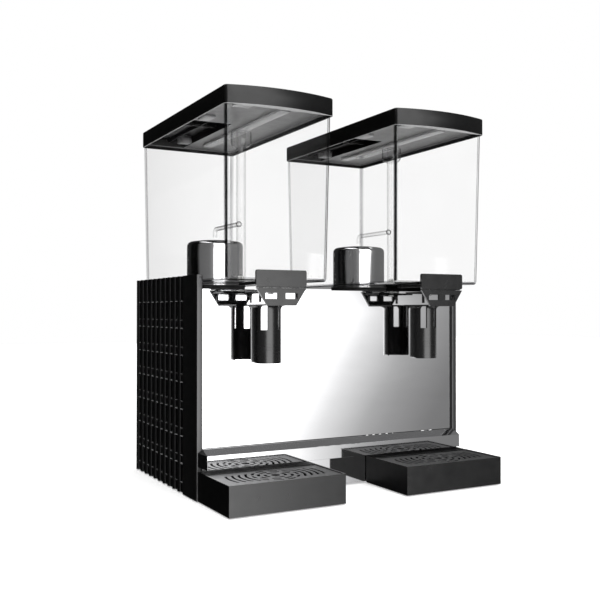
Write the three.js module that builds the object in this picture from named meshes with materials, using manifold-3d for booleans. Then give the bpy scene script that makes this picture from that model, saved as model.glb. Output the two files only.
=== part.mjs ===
// A twin-tank refrigerated drink dispenser, in millimetres, +Z up and its front towards -Y.
// The origin lies on the surface it stands on, under the middle of its outer box.
import * as THREE from "three";
import { ConvexGeometry } from "three/addons/geometries/ConvexGeometry.js";
import { mergeVertices } from "three/addons/utils/BufferGeometryUtils.js";
import Module from "manifold-3d";

const wasm = await Module();
wasm.setup();

// ---------------------------------------------------------------- driving dimensions

const GAP = 0.3; // between pieces that touch
const BODY_WIDTH = 500;
const BODY_DEPTH = 305;
const TRAY_REACH = 119; // how far the drip trays stand out in front of the body
const REAR_Y = (BODY_DEPTH + TRAY_REACH) / 2;
const FRONT_Y = REAR_Y - BODY_DEPTH;
const TRAY_FRONT_Y = FRONT_Y - TRAY_REACH;
const TANK_PITCH = 298.8;

const PANEL_TOP = 347.7; // the ribbed side panels and the strips in front of them
const PANEL_BOTTOM = 1.5;
const PANEL_SKIN = 2.5;
const PANEL_PLAIN = 55; // plain band behind the front edge
const RIB_COUNT = 11;
const RIB_WIDTH = 9;
const RIB_HEIGHT = 4;
const WINDOW_ROWS = 7;
const WINDOW_PITCH = 43.2;
const WINDOW_HEIGHT = 28.2;
const WINDOW_TOP = 306.5;

const TRIM_WIDTH = 9.8;
const TRIM_RETURN = 4.2;
const SHEET = 1.2;
const DECK_TOP = 326;
const MIRROR_Y = FRONT_Y + 4.5; // the polished front sits back between the strips
const LOWER_PANEL_Y = FRONT_Y + 1.5;
const LEDGE_FRONT_Y = FRONT_Y - 19;
const LEDGE_BOTTOM = 51;
const LEDGE_SHOULDER = 72.2;
const LEDGE_RIDGE = 80.2;
const INNER_HALF = BODY_WIDTH / 2 - 6.8; // clear half-width between the side panels

const TANK_FLOOR_Z = 336.7;
const TANK_TOP_Z = 595.8;
const TANK_WALL = 2.6;
const TANK_FLOOR = 3;
const TANK_BOTTOM = { half: 86, front: -169.1, rear: 200.3 };
const TANK_TOP = { half: 89.6, front: -175.3, rear: 205.2 };
const TANK_CORNER = 6;

const LID_HALF = 91.6;
const LID_FRONT_Y = FRONT_Y - 87.2;
const LID_REAR_Y = FRONT_Y + 300.4;
const LID_BOTTOM = 593;
const LID_TOP = 620.9;
const LID_BULGE = 13;
const LID_WALL = 1.6;

const DOME_Y = FRONT_Y + 170;
const DOME_RADIUS = 49;
const DOME_SHOULDER = 404;
const DOME_TOP = 416;
const DOME_FLANGE_Z = 316;
const COLLAR_RADIUS = 53.5;

const RISER_Y = FRONT_Y + 59;
const RISER_RADIUS = 7.75;
const RISER_BORE = 6.25;
const RISER_TOP = 586;
const ELBOW_Z = 435.4;
const ELBOW_RADIUS = 3.75;
const ELBOW_BORE = 2.6;

const VALVE_FRONT_Y = FRONT_Y - 88.5;
const VALVE_PLATE = 3.5;
const CAP_HALF = 42.2;
const CAP_BOTTOM = 328;
const CAP_TOP = 353;
const SKIRT_TOP = 326.2;
const SKIRT_BOTTOM = 301;
const SKIRT_TOP_HALF = 41.8;
const SKIRT_BOTTOM_HALF = 24.4;
const LEVER_Y = FRONT_Y - 34;
const LEVER_RADIUS = 23.5;
const LEVER_WALL = 2.8;
const LEVER_BOTTOM = 211.7;
const LEVER_SLOTS = [7.2, 16.3]; // two slots beside the middle of the half-tube
const LEVER_SLOT_BOTTOM = 263;
const PIVOT_Y = FRONT_Y - 79;
const PIVOT_Z = 323.5;
const PIN_RADIUS = 2;
const PIN_HOLE = 2.3;
const EAR_SPAN = [29, 32]; // the ears of the bracket, to either side of its middle
const EAR_REAR_Y = PIVOT_Y + 3.5;
const STOP_BOTTOM = 305; // legs under the ears that limit the push
const OUTLET_Y = FRONT_Y - 51;
const OUTLET_RADIUS = 8;
const OUTLET_BORE = 5.5;
const OUTLET_BOTTOM = 321;
const LIFT_BAR_Y = [OUTLET_Y + 10.5, OUTLET_Y + 14.5];

const TRAY_WIDTH = 191.5;
const TRAY_BOTTOM = 1.6;
const TRAY_TOP = 46.9;
const TRAY_REAR_Y = FRONT_Y - GAP;
const TRAY_WALL = 2.5;
const TRAY_STEP = 2; // the ledge inside the rim that carries the grate
const GRATE_REAR_Y = LEDGE_FRONT_Y - 10;
const GRATE_TOP = TRAY_TOP - 1.2;
const GRATE_SHEET = 1.5;

// ---------------------------------------------------------------- materials

const finish = (color, roughness, metalness, opacity = 1) =>
  new THREE.MeshStandardMaterial({ color, roughness, metalness, opacity, transparent: opacity < 1 });

const MATERIALS = {
  blackPlastic: finish(0x151516, 0.42, 0),
  greyPlastic: finish(0x3d3e40, 0.45, 0),
  clearPlastic: finish(0xeef3f5, 0.08, 0, 0.3),
  polishedSteel: finish(0xe4e6e8, 0.06, 1),
  satinSteel: finish(0x9c9ea0, 0.35, 1),
  zincSteel: finish(0x8d9194, 0.5, 0.9),
  blackEnamel: finish(0x18191b, 0.35, 0.2),
  copper: finish(0xb06a42, 0.35, 1),
  rubber: finish(0x101010, 0.85, 0),
  whitePlastic: finish(0xe8e8e4, 0.4, 0),
};

// ---------------------------------------------------------------- geometry helpers

const AXIS = {
  x: new THREE.Vector3(1, 0, 0),
  y: new THREE.Vector3(0, 1, 0),
  z: new THREE.Vector3(0, 0, 1),
};

function toSolid(geometry) {
  const bare = geometry.clone();
  bare.deleteAttribute("normal");
  bare.deleteAttribute("uv");
  const merged = mergeVertices(bare, 1e-4);
  const vertProperties = new Float32Array(merged.attributes.position.array);
  const triVerts = new Uint32Array(merged.index.array);
  return new wasm.Manifold(new wasm.Mesh({ numProp: 3, vertProperties, triVerts }));
}

function toGeometry(solid) {
  const mesh = solid.getMesh();
  const geometry = new THREE.BufferGeometry();
  geometry.setAttribute("position", new THREE.BufferAttribute(mesh.vertProperties, 3));
  geometry.setIndex(new THREE.BufferAttribute(mesh.triVerts, 1));
  geometry.computeVertexNormals();
  return geometry;
}

function join(first, ...others) {
  return toGeometry(others.reduce((solid, other) => solid.add(toSolid(other)), toSolid(first)));
}

function cut(body, ...tools) {
  return toGeometry(tools.reduce((solid, tool) => solid.subtract(toSolid(tool)), toSolid(body)));
}

function common(first, second) {
  return toGeometry(toSolid(first).intersect(toSolid(second)));
}

function box([x0, x1], [y0, y1], [z0, z1]) {
  const geometry = new THREE.BoxGeometry(x1 - x0, y1 - y0, z1 - z0);
  return geometry.translate((x0 + x1) / 2, (y0 + y1) / 2, (z0 + z1) / 2);
}

// A disc or rod on the axis "x", "y" or "z" through the point, from one height to another along it.
function rod(axis, [a, b], [from, to], radius, segments = 24) {
  const geometry = new THREE.CylinderGeometry(radius, radius, to - from, segments);
  const middle = (from + to) / 2;
  if (axis === "x") {
    return geometry.rotateZ(Math.PI / 2).translate(middle, a, b);
  }
  if (axis === "y") {
    return geometry.translate(a, middle, b);
  }
  return geometry.rotateX(Math.PI / 2).translate(a, b, middle);
}

// A turned body on an upright axis, from a closed list of [radius, height] points.
function turned(profile, [x, y], segments = 32) {
  const points = profile.map(([radius, height]) => new THREE.Vector2(radius, height));
  return new THREE.LatheGeometry(points, segments).rotateX(Math.PI / 2).translate(x, y, 0);
}

function outline(points) {
  return new THREE.Shape(points.map(([x, y]) => new THREE.Vector2(x, y)));
}

function extrude(shape, depth, curveSegments = 4) {
  return new THREE.ExtrudeGeometry(shape, { depth, bevelEnabled: false, curveSegments });
}

// Prisms along each axis: the section is drawn in (y, z), (x, z) or (x, y).
function prismX(shape, [x0, x1], curveSegments) {
  const basis = new THREE.Matrix4().makeBasis(AXIS.y, AXIS.z, AXIS.x);
  return extrude(shape, x1 - x0, curveSegments).applyMatrix4(basis).translate(x0, 0, 0);
}

function prismY(shape, [y0, y1], curveSegments) {
  const basis = new THREE.Matrix4().makeBasis(AXIS.x, AXIS.z, AXIS.y.clone().negate());
  return extrude(shape, y1 - y0, curveSegments).applyMatrix4(basis).translate(0, y1, 0);
}

function prismZ(shape, [z0, z1], curveSegments) {
  return extrude(shape, z1 - z0, curveSegments).translate(0, 0, z0);
}

function tubeAlong(curve, radius, bore, steps, sides = 10) {
  const ring = new THREE.Shape().absarc(0, 0, radius, 0, 2 * Math.PI, false);
  if (bore > 0) {
    ring.holes.push(new THREE.Path().absarc(0, 0, bore, 0, 2 * Math.PI, true));
  }
  return new THREE.ExtrudeGeometry(ring, {
    steps,
    extrudePath: curve,
    bevelEnabled: false,
    curveSegments: sides,
  });
}

// A rectangle with round corners; its front edge (low y) may bulge forward as one arc.
function roundedRectangle([x0, x1], [y0, y1], radius, bulge = 0) {
  const shape = new THREE.Shape();
  if (bulge > 0) {
    const half = (x1 - x0) / 2 - radius;
    const arcRadius = (half * half + bulge * bulge) / (2 * bulge);
    const centreY = y0 - bulge + arcRadius;
    const spread = Math.asin(half / arcRadius);
    shape.absarc((x0 + x1) / 2, centreY, arcRadius, -Math.PI / 2 - spread, -Math.PI / 2 + spread, false);
  } else {
    shape.moveTo(x0 + radius, y0);
    shape.lineTo(x1 - radius, y0);
  }
  shape.absarc(x1 - radius, y0 + radius, radius, -Math.PI / 2, 0, false);
  shape.absarc(x1 - radius, y1 - radius, radius, 0, Math.PI / 2, false);
  shape.absarc(x0 + radius, y1 - radius, radius, Math.PI / 2, Math.PI, false);
  shape.absarc(x0 + radius, y0 + radius, radius, Math.PI, 1.5 * Math.PI, false);
  return shape;
}

// A box with round upright corners whose plan grows evenly from a bottom size to a top size.
function flaredBox(x, bottom, top, [z0, z1], corner, inset = 0) {
  const width = [x - bottom.half + inset, x + bottom.half - inset];
  const depth = [bottom.front + inset, bottom.rear - inset];
  const geometry = prismZ(roundedRectangle(width, depth, corner - inset / 2), [z0, z1], 1);
  const position = geometry.attributes.position;
  const fullHeight = TANK_TOP_Z - TANK_FLOOR_Z;
  for (let i = 0; i < position.count; i += 1) {
    const t = (position.getZ(i) - TANK_FLOOR_Z) / fullHeight;
    const along = (position.getY(i) - bottom.front) / (bottom.rear - bottom.front);
    const front = THREE.MathUtils.lerp(bottom.front, top.front, t);
    const rear = THREE.MathUtils.lerp(bottom.rear, top.rear, t);
    const widen = THREE.MathUtils.lerp(1, top.half / bottom.half, t);
    position.setX(i, x + (position.getX(i) - x) * widen);
    position.setY(i, THREE.MathUtils.lerp(front, rear, along));
  }
  return geometry;
}

const dispenser = new THREE.Group();
dispenser.name = "drink_dispenser";

function add(name, geometry, material) {
  const mesh = new THREE.Mesh(geometry, material);
  mesh.name = name;
  dispenser.add(mesh);
}

const SIDES = [
  { name: "left", sign: -1 },
  { name: "right", sign: 1 },
];

// Orders two x values for a piece that is mirrored to one side of the machine.
function spanX(sign, inner, outer) {
  return sign < 0 ? [-outer, -inner] : [inner, outer];
}

// ---------------------------------------------------------------- casing

// Section of a ribbed side panel in (x, y), for the left side: a plain front band,
// then a recessed skin with half-round ribs on it.
function sidePanelSection(sign) {
  const outer = BODY_WIDTH / 2;
  const channel = outer - RIB_HEIGHT;
  const frontY = FRONT_Y + 5;
  const ribStart = FRONT_Y + PANEL_PLAIN;
  const pitch = (REAR_Y - ribStart - RIB_WIDTH) / (RIB_COUNT - 1);
  const arcSteps = 4;
  const points = [[outer, frontY]];
  for (let rib = 0; rib < RIB_COUNT; rib += 1) {
    const centre = ribStart + RIB_WIDTH / 2 + rib * pitch;
    const first = rib === 0 ? arcSteps / 2 : 0;
    for (let step = first; step <= arcSteps; step += 1) {
      const angle = (Math.PI * step) / arcSteps;
      points.push([channel + RIB_HEIGHT * Math.sin(angle), centre - (RIB_WIDTH / 2) * Math.cos(angle)]);
    }
  }
  const inside = channel - PANEL_SKIN;
  points.push([inside, REAR_Y]);
  points.push([inside, frontY]);
  return outline(points.map(([x, y]) => [sign * x, y]));
}

function makeSidePanel(sign) {
  const panel = prismZ(sidePanelSection(sign), [PANEL_BOTTOM, PANEL_TOP]);
  const ribStart = FRONT_Y + PANEL_PLAIN;
  const pitch = (REAR_Y - ribStart - RIB_WIDTH) / (RIB_COUNT - 1);
  const reach = spanX(sign, BODY_WIDTH / 2 - 10, BODY_WIDTH / 2 + 1);
  const windows = [];
  for (let row = 0; row < WINDOW_ROWS; row += 1) {
    const top = WINDOW_TOP - row * WINDOW_PITCH;
    for (let column = 0; column < RIB_COUNT - 1; column += 1) {
      const start = ribStart + RIB_WIDTH + column * pitch + 0.5;
      const end = start + pitch - RIB_WIDTH - 1;
      windows.push(box(reach, [start, end], [top - WINDOW_HEIGHT, top]));
    }
  }
  return cut(panel, ...windows);
}

function makeSideTrim(sign) {
  const outer = BODY_WIDTH / 2;
  const inner = outer - TRIM_WIDTH;
  const backY = FRONT_Y + TRIM_RETURN;
  const section = [
    [outer, FRONT_Y],
    [outer, backY],
    [outer - SHEET, backY],
    [outer - SHEET, FRONT_Y + SHEET],
    [inner + SHEET, FRONT_Y + SHEET],
    [inner + SHEET, backY],
    [inner, backY],
    [inner, FRONT_Y],
  ];
  return prismZ(outline(section.map(([x, y]) => [sign * x, y])), [PANEL_BOTTOM, PANEL_TOP]);
}

// A folded steel ledge across the front, with a sloping top, open towards the machine.
function makeLedge(half) {
  const backY = LOWER_PANEL_Y - GAP;
  const section = [
    [backY, LEDGE_RIDGE],
    [FRONT_Y - 1, LEDGE_RIDGE],
    [LEDGE_FRONT_Y, LEDGE_SHOULDER],
    [LEDGE_FRONT_Y, LEDGE_BOTTOM],
    [backY, LEDGE_BOTTOM],
    [backY, LEDGE_BOTTOM + SHEET],
    [LEDGE_FRONT_Y + SHEET, LEDGE_BOTTOM + SHEET],
    [LEDGE_FRONT_Y + SHEET, LEDGE_SHOULDER - 0.8],
    [FRONT_Y - 0.7, LEDGE_RIDGE - SHEET],
    [backY, LEDGE_RIDGE - SHEET],
  ];
  return prismX(outline(section), [-half, half]);
}

function makeLedgeCap(sign, inner) {
  const outer = BODY_WIDTH / 2 - 2;
  const backY = FRONT_Y - 0.4;
  const corners = [
    [inner, LEDGE_FRONT_Y - 0.6, LEDGE_BOTTOM],
    [inner, LEDGE_FRONT_Y - 0.6, LEDGE_SHOULDER],
    [inner, backY, LEDGE_BOTTOM],
    [inner, backY, LEDGE_RIDGE],
    [outer, backY, LEDGE_BOTTOM + 3],
    [outer, backY, LEDGE_RIDGE - 5],
  ];
  return new ConvexGeometry(corners.map(([x, y, z]) => new THREE.Vector3(sign * x, y, z)));
}

const SWITCH_CUP = { x: [118, 222], y: [199, 211.8], z: [234, 292] };
const INLET = { x: [-204, -156], y: [188, 211.8], z: [46, 76] };

function widened([low, high], margin) {
  return [low - margin, high + margin];
}

function makeRearPanel() {
  const sheetY = [REAR_Y - 1.6, REAR_Y];
  const through = widened(sheetY, 1);
  const openings = [];
  const louvreRows = 9;
  for (const centre of [-75, 75]) {
    for (let row = 0; row < louvreRows; row += 1) {
      const z = 96 + row * 13;
      openings.push(box([centre - 60, centre + 60], through, [z, z + 4.5]));
    }
  }
  for (const cutOut of [SWITCH_CUP, INLET]) {
    openings.push(box(widened(cutOut.x, GAP), through, widened(cutOut.z, GAP)));
  }
  return cut(box([-INNER_HALF, INNER_HALF], sheetY, [4.4, DECK_TOP]), ...openings);
}

function makeBasePan() {
  const half = INNER_HALF;
  const y = [FRONT_Y + TRIM_RETURN + GAP, REAR_Y - 2];
  const lip = 1.5;
  const shell = box([-half, half], y, [4.4, 22]);
  return cut(shell, box([-half + lip, half - lip], widened(y, -lip), [5.9, 23]));
}

function makeDeck() {
  const deckY = [MIRROR_Y + SHEET + GAP, REAR_Y - 2];
  const deck = box([-INNER_HALF, INNER_HALF], deckY, [DECK_TOP - 1.5, DECK_TOP]);
  const holes = SIDES.map(({ sign }) =>
    rod("z", [(sign * TANK_PITCH) / 2, DOME_Y], [DECK_TOP - 5, DECK_TOP + 5], DOME_RADIUS + 0.6, 36),
  );
  return cut(deck, ...holes);
}

function buildCasing() {
  const { blackPlastic, satinSteel, polishedSteel, zincSteel, rubber } = MATERIALS;
  add("base_pan", makeBasePan(), zincSteel);
  for (const { name, sign } of SIDES) {
    for (const [end, y] of [["front", FRONT_Y + 25], ["rear", REAR_Y - 25]]) {
      add(`foot_${end}_${name}`, rod("z", [sign * 212, y], [0, 4.1], 14, 20), rubber);
    }
    add(`side_panel_${name}`, makeSidePanel(sign), blackPlastic);
    add(`side_trim_${name}`, makeSideTrim(sign), satinSteel);
  }
  const mirrorHalf = BODY_WIDTH / 2 - TRIM_WIDTH - GAP;
  const mirrorY = [MIRROR_Y, MIRROR_Y + SHEET];
  add("front_panel", box([-INNER_HALF, INNER_HALF], mirrorY, [LEDGE_RIDGE + GAP, DECK_TOP]), polishedSteel);
  const lowerY = [LOWER_PANEL_Y, LOWER_PANEL_Y + SHEET];
  add("lower_front_panel", box([-mirrorHalf, mirrorHalf], lowerY, [3, LEDGE_RIDGE]), polishedSteel);
  add("drip_ledge", makeLedge(mirrorHalf), polishedSteel);
  for (const { name, sign } of SIDES) {
    add(`ledge_cap_${name}`, makeLedgeCap(sign, mirrorHalf + GAP), blackPlastic);
  }
  add("rear_panel", makeRearPanel(), zincSteel);
  add("deck_plate", makeDeck(), satinSteel);
}

// ---------------------------------------------------------------- refrigeration

const COMPRESSOR = { x: 75, y: 70, radius: 62, bottom: 8.2, top: 168 };
const FAN = { y: 62, z: 132, radius: 74 };
const BLADE_PITCH = 0.38;

function makeCompressor() {
  const { x, y, radius, bottom, top } = COMPRESSOR;
  const profile = [
    [0, bottom],
    [radius * 0.7, bottom],
    [radius * 0.96, bottom + 14],
    [radius, bottom + 40],
    [radius, top - 50],
    [radius * 0.94, top - 26],
    [radius * 0.7, top - 8],
    [0, top],
  ];
  const shell = turned(profile, [x, y], 20);
  const plate = box([x - 80, x + 80], [y - 52, y + 52], [6.2, bottom + 4]);
  return join(shell, plate);
}

// A finned block: one comb-shaped section carried across its whole depth.
function makeCondenser() {
  const x = [-232, -202];
  const y = [FAN.y - 98, FAN.y + 98];
  const z = [FAN.z - 98, FAN.z + 98];
  const finCount = 18;
  const pitch = (z[1] - z[0]) / finCount;
  const block = box(x, y, z);
  const slots = [];
  for (let fin = 0; fin < finCount; fin += 1) {
    const start = z[0] + fin * pitch + 2.5;
    slots.push(box([x[0] - 1, x[1] - 6], widened(y, -6), [start, start + pitch - 2.5]));
  }
  return cut(block, ...slots);
}

function makeFanShroud() {
  const plateX = [-198, -195.5];
  const half = 92;
  const hole = rod("x", [FAN.y, FAN.z], widened(plateX, 2), FAN.radius + 4, 32);
  const plate = cut(box(plateX, [FAN.y - half, FAN.y + half], [FAN.z - half, FAN.z + half]), hole);
  const barX = [-164, -160];
  const legs = [-1, 1].map((sign) => {
    const z = FAN.z + sign * 86;
    return box([plateX[1] - 1, barX[1]], [FAN.y - 5, FAN.y + 5], [z - 3, z + 3]);
  });
  const bar = box(barX, [FAN.y - 5, FAN.y + 5], [FAN.z - 89, FAN.z + 89]);
  return cut(join(plate, ...legs, bar), rod("x", [FAN.y, FAN.z], widened(barX, 1), 3.8, 16));
}

function makeFanBlade() {
  const hub = rod("x", [FAN.y, FAN.z], [-190, -172], 16, 20);
  const bladeCount = 5;
  const blades = [];
  for (let i = 0; i < bladeCount; i += 1) {
    const blade = new THREE.BoxGeometry(2, 34, FAN.radius - 14);
    blade.translate(0, 0, 14 + (FAN.radius - 14) / 2);
    blade.rotateZ(BLADE_PITCH);
    blade.rotateX((2 * Math.PI * i) / bladeCount);
    blades.push(blade.translate(-181, FAN.y, FAN.z));
  }
  return cut(join(hub, ...blades), rod("x", [FAN.y, FAN.z], [-176, -170], 3.3, 12));
}

function makeFanMotor() {
  const body = rod("x", [FAN.y, FAN.z], [-159.6, -122], 28, 24);
  return join(body, rod("x", [FAN.y, FAN.z], [-175, -159], 2.9, 12));
}

function makeRefrigerantLine(sign) {
  const top = COMPRESSOR.top;
  const startX = COMPRESSOR.x - 12 + sign * 12;
  const endX = (sign * TANK_PITCH) / 2;
  const turn = top + 62;
  const route = new THREE.CatmullRomCurve3([
    new THREE.Vector3(startX, COMPRESSOR.y, top + 1),
    new THREE.Vector3(startX, COMPRESSOR.y, turn - 16),
    new THREE.Vector3(startX + (endX - startX) * 0.15, COMPRESSOR.y + 2, turn),
    new THREE.Vector3(startX + (endX - startX) * 0.85, DOME_Y - 2, turn),
    new THREE.Vector3(endX, DOME_Y, turn + 16),
    new THREE.Vector3(endX, DOME_Y, 312),
  ]);
  return tubeAlong(route, 3.2, 0, 16, 3);
}

function buildRefrigeration() {
  const { blackEnamel, zincSteel, copper, blackPlastic } = MATERIALS;
  add("compressor", makeCompressor(), blackEnamel);
  add("condenser", makeCondenser(), blackEnamel);
  add("fan_shroud", makeFanShroud(), zincSteel);
  add("fan_blade", makeFanBlade(), blackPlastic);
  add("fan_motor", makeFanMotor(), zincSteel);
  for (const { name, sign } of SIDES) {
    add(`refrigerant_line_${name}`, makeRefrigerantLine(sign), copper);
  }
}

// ---------------------------------------------------------------- tanks and what stands in them

function makeDome(x) {
  const wall = SHEET;
  const r = DOME_RADIUS;
  const profile = [
    [0, DOME_TOP - wall],
    [r - 25, DOME_TOP - 1 - wall],
    [r - 9.5, DOME_SHOULDER + 7.5 - wall],
    [r - 3.5, DOME_SHOULDER + 4],
    [r - wall, DOME_SHOULDER],
    [r - wall, DOME_FLANGE_Z],
    [r + 6, DOME_FLANGE_Z],
    [r + 6, DOME_FLANGE_Z + wall],
    [r, DOME_FLANGE_Z + wall],
    [r, DOME_SHOULDER],
    [r - 2.5, DOME_SHOULDER + 4.5],
    [r - 9, DOME_SHOULDER + 7.5],
    [r - 25, DOME_TOP - 1],
    [0, DOME_TOP],
  ];
  return turned(profile, [x, DOME_Y], 28);
}

function makeCollar(x) {
  const inner = DOME_RADIUS + 0.4;
  const profile = [
    [inner, DECK_TOP + GAP],
    [COLLAR_RADIUS, DECK_TOP + GAP],
    [COLLAR_RADIUS, TANK_FLOOR_Z - GAP],
    [inner, TANK_FLOOR_Z - GAP],
    [inner, DECK_TOP + GAP],
  ];
  return turned(profile, [x, DOME_Y], 28);
}

function makeTank(x) {
  const shell = flaredBox(x, TANK_BOTTOM, TANK_TOP, [TANK_FLOOR_Z, TANK_TOP_Z], TANK_CORNER);
  const floorTop = TANK_FLOOR_Z + TANK_FLOOR;
  const inside = flaredBox(x, TANK_BOTTOM, TANK_TOP, [floorTop, TANK_TOP_Z + 4], TANK_CORNER, TANK_WALL);
  const domeHole = rod("z", [x, DOME_Y], [TANK_FLOOR_Z - 1, floorTop + 1], DOME_RADIUS + 1.2, 28);
  const outlet = rod("z", [x, OUTLET_Y], [OUTLET_BOTTOM, floorTop - 1], OUTLET_RADIUS, 20);
  const legs = [];
  for (const legX of [-78, 78]) {
    for (const legY of [-68, 12, 118, 190]) {
      legs.push(box([x + legX - 2, x + legX + 2], [legY - 3, legY + 3], [DECK_TOP + GAP, TANK_FLOOR_Z + 1]));
    }
  }
  const bore = rod("z", [x, OUTLET_Y], [OUTLET_BOTTOM - 1, floorTop + 1], OUTLET_BORE, 20);
  const tabSlotY = [OUTLET_Y, OUTLET_Y + OUTLET_RADIUS + 1];
  const tabSlot = box([x - 2.4, x + 2.4], tabSlotY, [OUTLET_BOTTOM - 1, 334.4]);
  return cut(join(cut(shell, inside), outlet, ...legs), domeHole, bore, tabSlot);
}

// A moulded cover: its skirt hangs around the tank's rim, and a step inside rests on the rim.
function makeLid(x) {
  const width = [x - LID_HALF, x + LID_HALF];
  const depth = [LID_FRONT_Y, LID_REAR_Y];
  const cover = prismZ(roundedRectangle(width, depth, 7, LID_BULGE), [LID_BOTTOM, LID_TOP], 3);
  const skirtInside = roundedRectangle(widened(width, -LID_WALL), widened(depth, -LID_WALL), 5);
  const stepInside = roundedRectangle(widened(width, -6), widened(depth, -8), 5);
  const rest = TANK_TOP_Z + GAP;
  return cut(
    cover,
    prismZ(skirtInside, [LID_BOTTOM - 1, rest], 1),
    prismZ(stepInside, [rest - 0.5, LID_TOP - 3], 1),
  );
}

function makeRiser(x) {
  const bottom = TANK_FLOOR_Z + TANK_FLOOR + GAP;
  const outer = rod("z", [x, RISER_Y], [bottom, RISER_TOP], RISER_RADIUS, 16);
  const bore = rod("z", [x, RISER_Y], [bottom - 1, RISER_TOP + 1], RISER_BORE, 16);
  const inlet = box([x - 2.5, x + 2.5], [RISER_Y - RISER_RADIUS - 1, RISER_Y], [bottom - 1, bottom + 10]);
  const elbowPort = rod("y", [x, ELBOW_Z], [RISER_Y, RISER_Y + RISER_RADIUS + 1], ELBOW_BORE, 12);
  return cut(outer, bore, inlet, elbowPort);
}

function makeElbow(x) {
  const bend = 9;
  const route = new THREE.CurvePath();
  const start = new THREE.Vector3(x, RISER_Y + RISER_RADIUS + GAP, ELBOW_Z);
  const corner = new THREE.Vector3(x, DOME_Y, ELBOW_Z);
  const beforeBend = corner.clone().add(new THREE.Vector3(0, -bend, 0));
  const afterBend = corner.clone().add(new THREE.Vector3(0, 0, -bend));
  route.add(new THREE.LineCurve3(start, beforeBend));
  route.add(new THREE.QuadraticBezierCurve3(beforeBend, corner, afterBend));
  route.add(new THREE.LineCurve3(afterBend, new THREE.Vector3(x, DOME_Y, 422)));
  return tubeAlong(route, ELBOW_RADIUS, ELBOW_BORE, 18, 4);
}

// The spreader on top of the riser: a shallow trough that carries the drink back over the dome.
function makeSpreader(x) {
  const y = [RISER_Y - 11, DOME_Y];
  const trough = cut(
    box([x - 10, x + 10], y, [RISER_TOP + GAP, RISER_TOP + 7]),
    box([x - 8.5, x + 8.5], [y[0] + 1.5, y[1] + 1], [RISER_TOP + 1.8, RISER_TOP + 8]),
  );
  return cut(trough, rod("z", [x, RISER_Y], [RISER_TOP - 1, RISER_TOP + 3], RISER_BORE, 20));
}

function makePumpRotor(x) {
  const bottom = TANK_FLOOR_Z + TANK_FLOOR + 0.8;
  const core = rod("z", [x, RISER_Y], [bottom, bottom + 9], 2.2, 12);
  const paddle = 5.4;
  const bladeA = box([x - paddle, x + paddle], [RISER_Y - 0.8, RISER_Y + 0.8], [bottom + 3, bottom + 9]);
  const bladeB = box([x - 0.8, x + 0.8], [RISER_Y - paddle, RISER_Y + paddle], [bottom + 3, bottom + 9]);
  return join(core, bladeA, bladeB, rod("z", [x, RISER_Y], [bottom, bottom + 3.2], 5.6, 16));
}

function makePumpMotor(x) {
  const body = rod("z", [x, RISER_Y], [262, 316], 27, 24);
  return join(body, rod("z", [x, RISER_Y], [315, DECK_TOP - 1.5 - GAP], 20, 24));
}

function buildTank({ name, sign }) {
  const { clearPlastic, polishedSteel, blackPlastic, rubber, whitePlastic, zincSteel } = MATERIALS;
  const x = (sign * TANK_PITCH) / 2;
  add(`evaporator_dome_${name}`, makeDome(x), polishedSteel);
  add(`dome_collar_${name}`, makeCollar(x), rubber);
  add(`tank_${name}`, makeTank(x), clearPlastic);
  add(`lid_${name}`, makeLid(x), blackPlastic);
  add(`riser_tube_${name}`, makeRiser(x), clearPlastic);
  add(`spray_elbow_${name}`, makeElbow(x), clearPlastic);
  add(`spreader_${name}`, makeSpreader(x), clearPlastic);
  add(`pump_rotor_${name}`, makePumpRotor(x), whitePlastic);
  add(`pump_motor_${name}`, makePumpMotor(x), zincSteel);
}

// ---------------------------------------------------------------- dispensing valves

// The fixed part: a cap plate in front of the tank, a shelf under it and two ears for the pin.
function makeValveBracket(x) {
  const plateY = [VALVE_FRONT_Y, VALVE_FRONT_Y + 4];
  const plate = prismY(
    roundedRectangle([x - CAP_HALF, x + CAP_HALF], [CAP_BOTTOM, CAP_TOP], 3),
    plateY,
    3,
  );
  const shelfZ = [331.5, TANK_FLOOR_Z - GAP - 0.1];
  const shelf = box([x - 34, x + 34], [plateY[1] - 1, OUTLET_Y - OUTLET_RADIUS - 1], shelfZ);
  const arms = [-1, 1].map((sign) =>
    box(spanXAt(x, sign, 27, 34), [OUTLET_Y - OUTLET_RADIUS - 2, FRONT_Y - 8], shelfZ),
  );
  const ears = [-1, 1].map((sign) =>
    box(spanXAt(x, sign, ...EAR_SPAN), [plateY[1] + 0.2, EAR_REAR_Y], [PIVOT_Z - 4, shelfZ[0] + 1]),
  );
  const stops = [-1, 1].map((sign) =>
    box(spanXAt(x, sign, ...EAR_SPAN), [PIVOT_Y, EAR_REAR_Y], [STOP_BOTTOM, PIVOT_Z - 3]),
  );
  return cut(join(plate, shelf, ...arms, ...ears, ...stops), makePinHole(x));
}

function makePinHole(x) {
  return rod("x", [PIVOT_Y, PIVOT_Z], [x - 34, x + 34], PIN_HOLE, 16);
}

function spanXAt(x, sign, inner, outer) {
  const [low, high] = spanX(sign, inner, outer);
  return [x + low, x + high];
}

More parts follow.
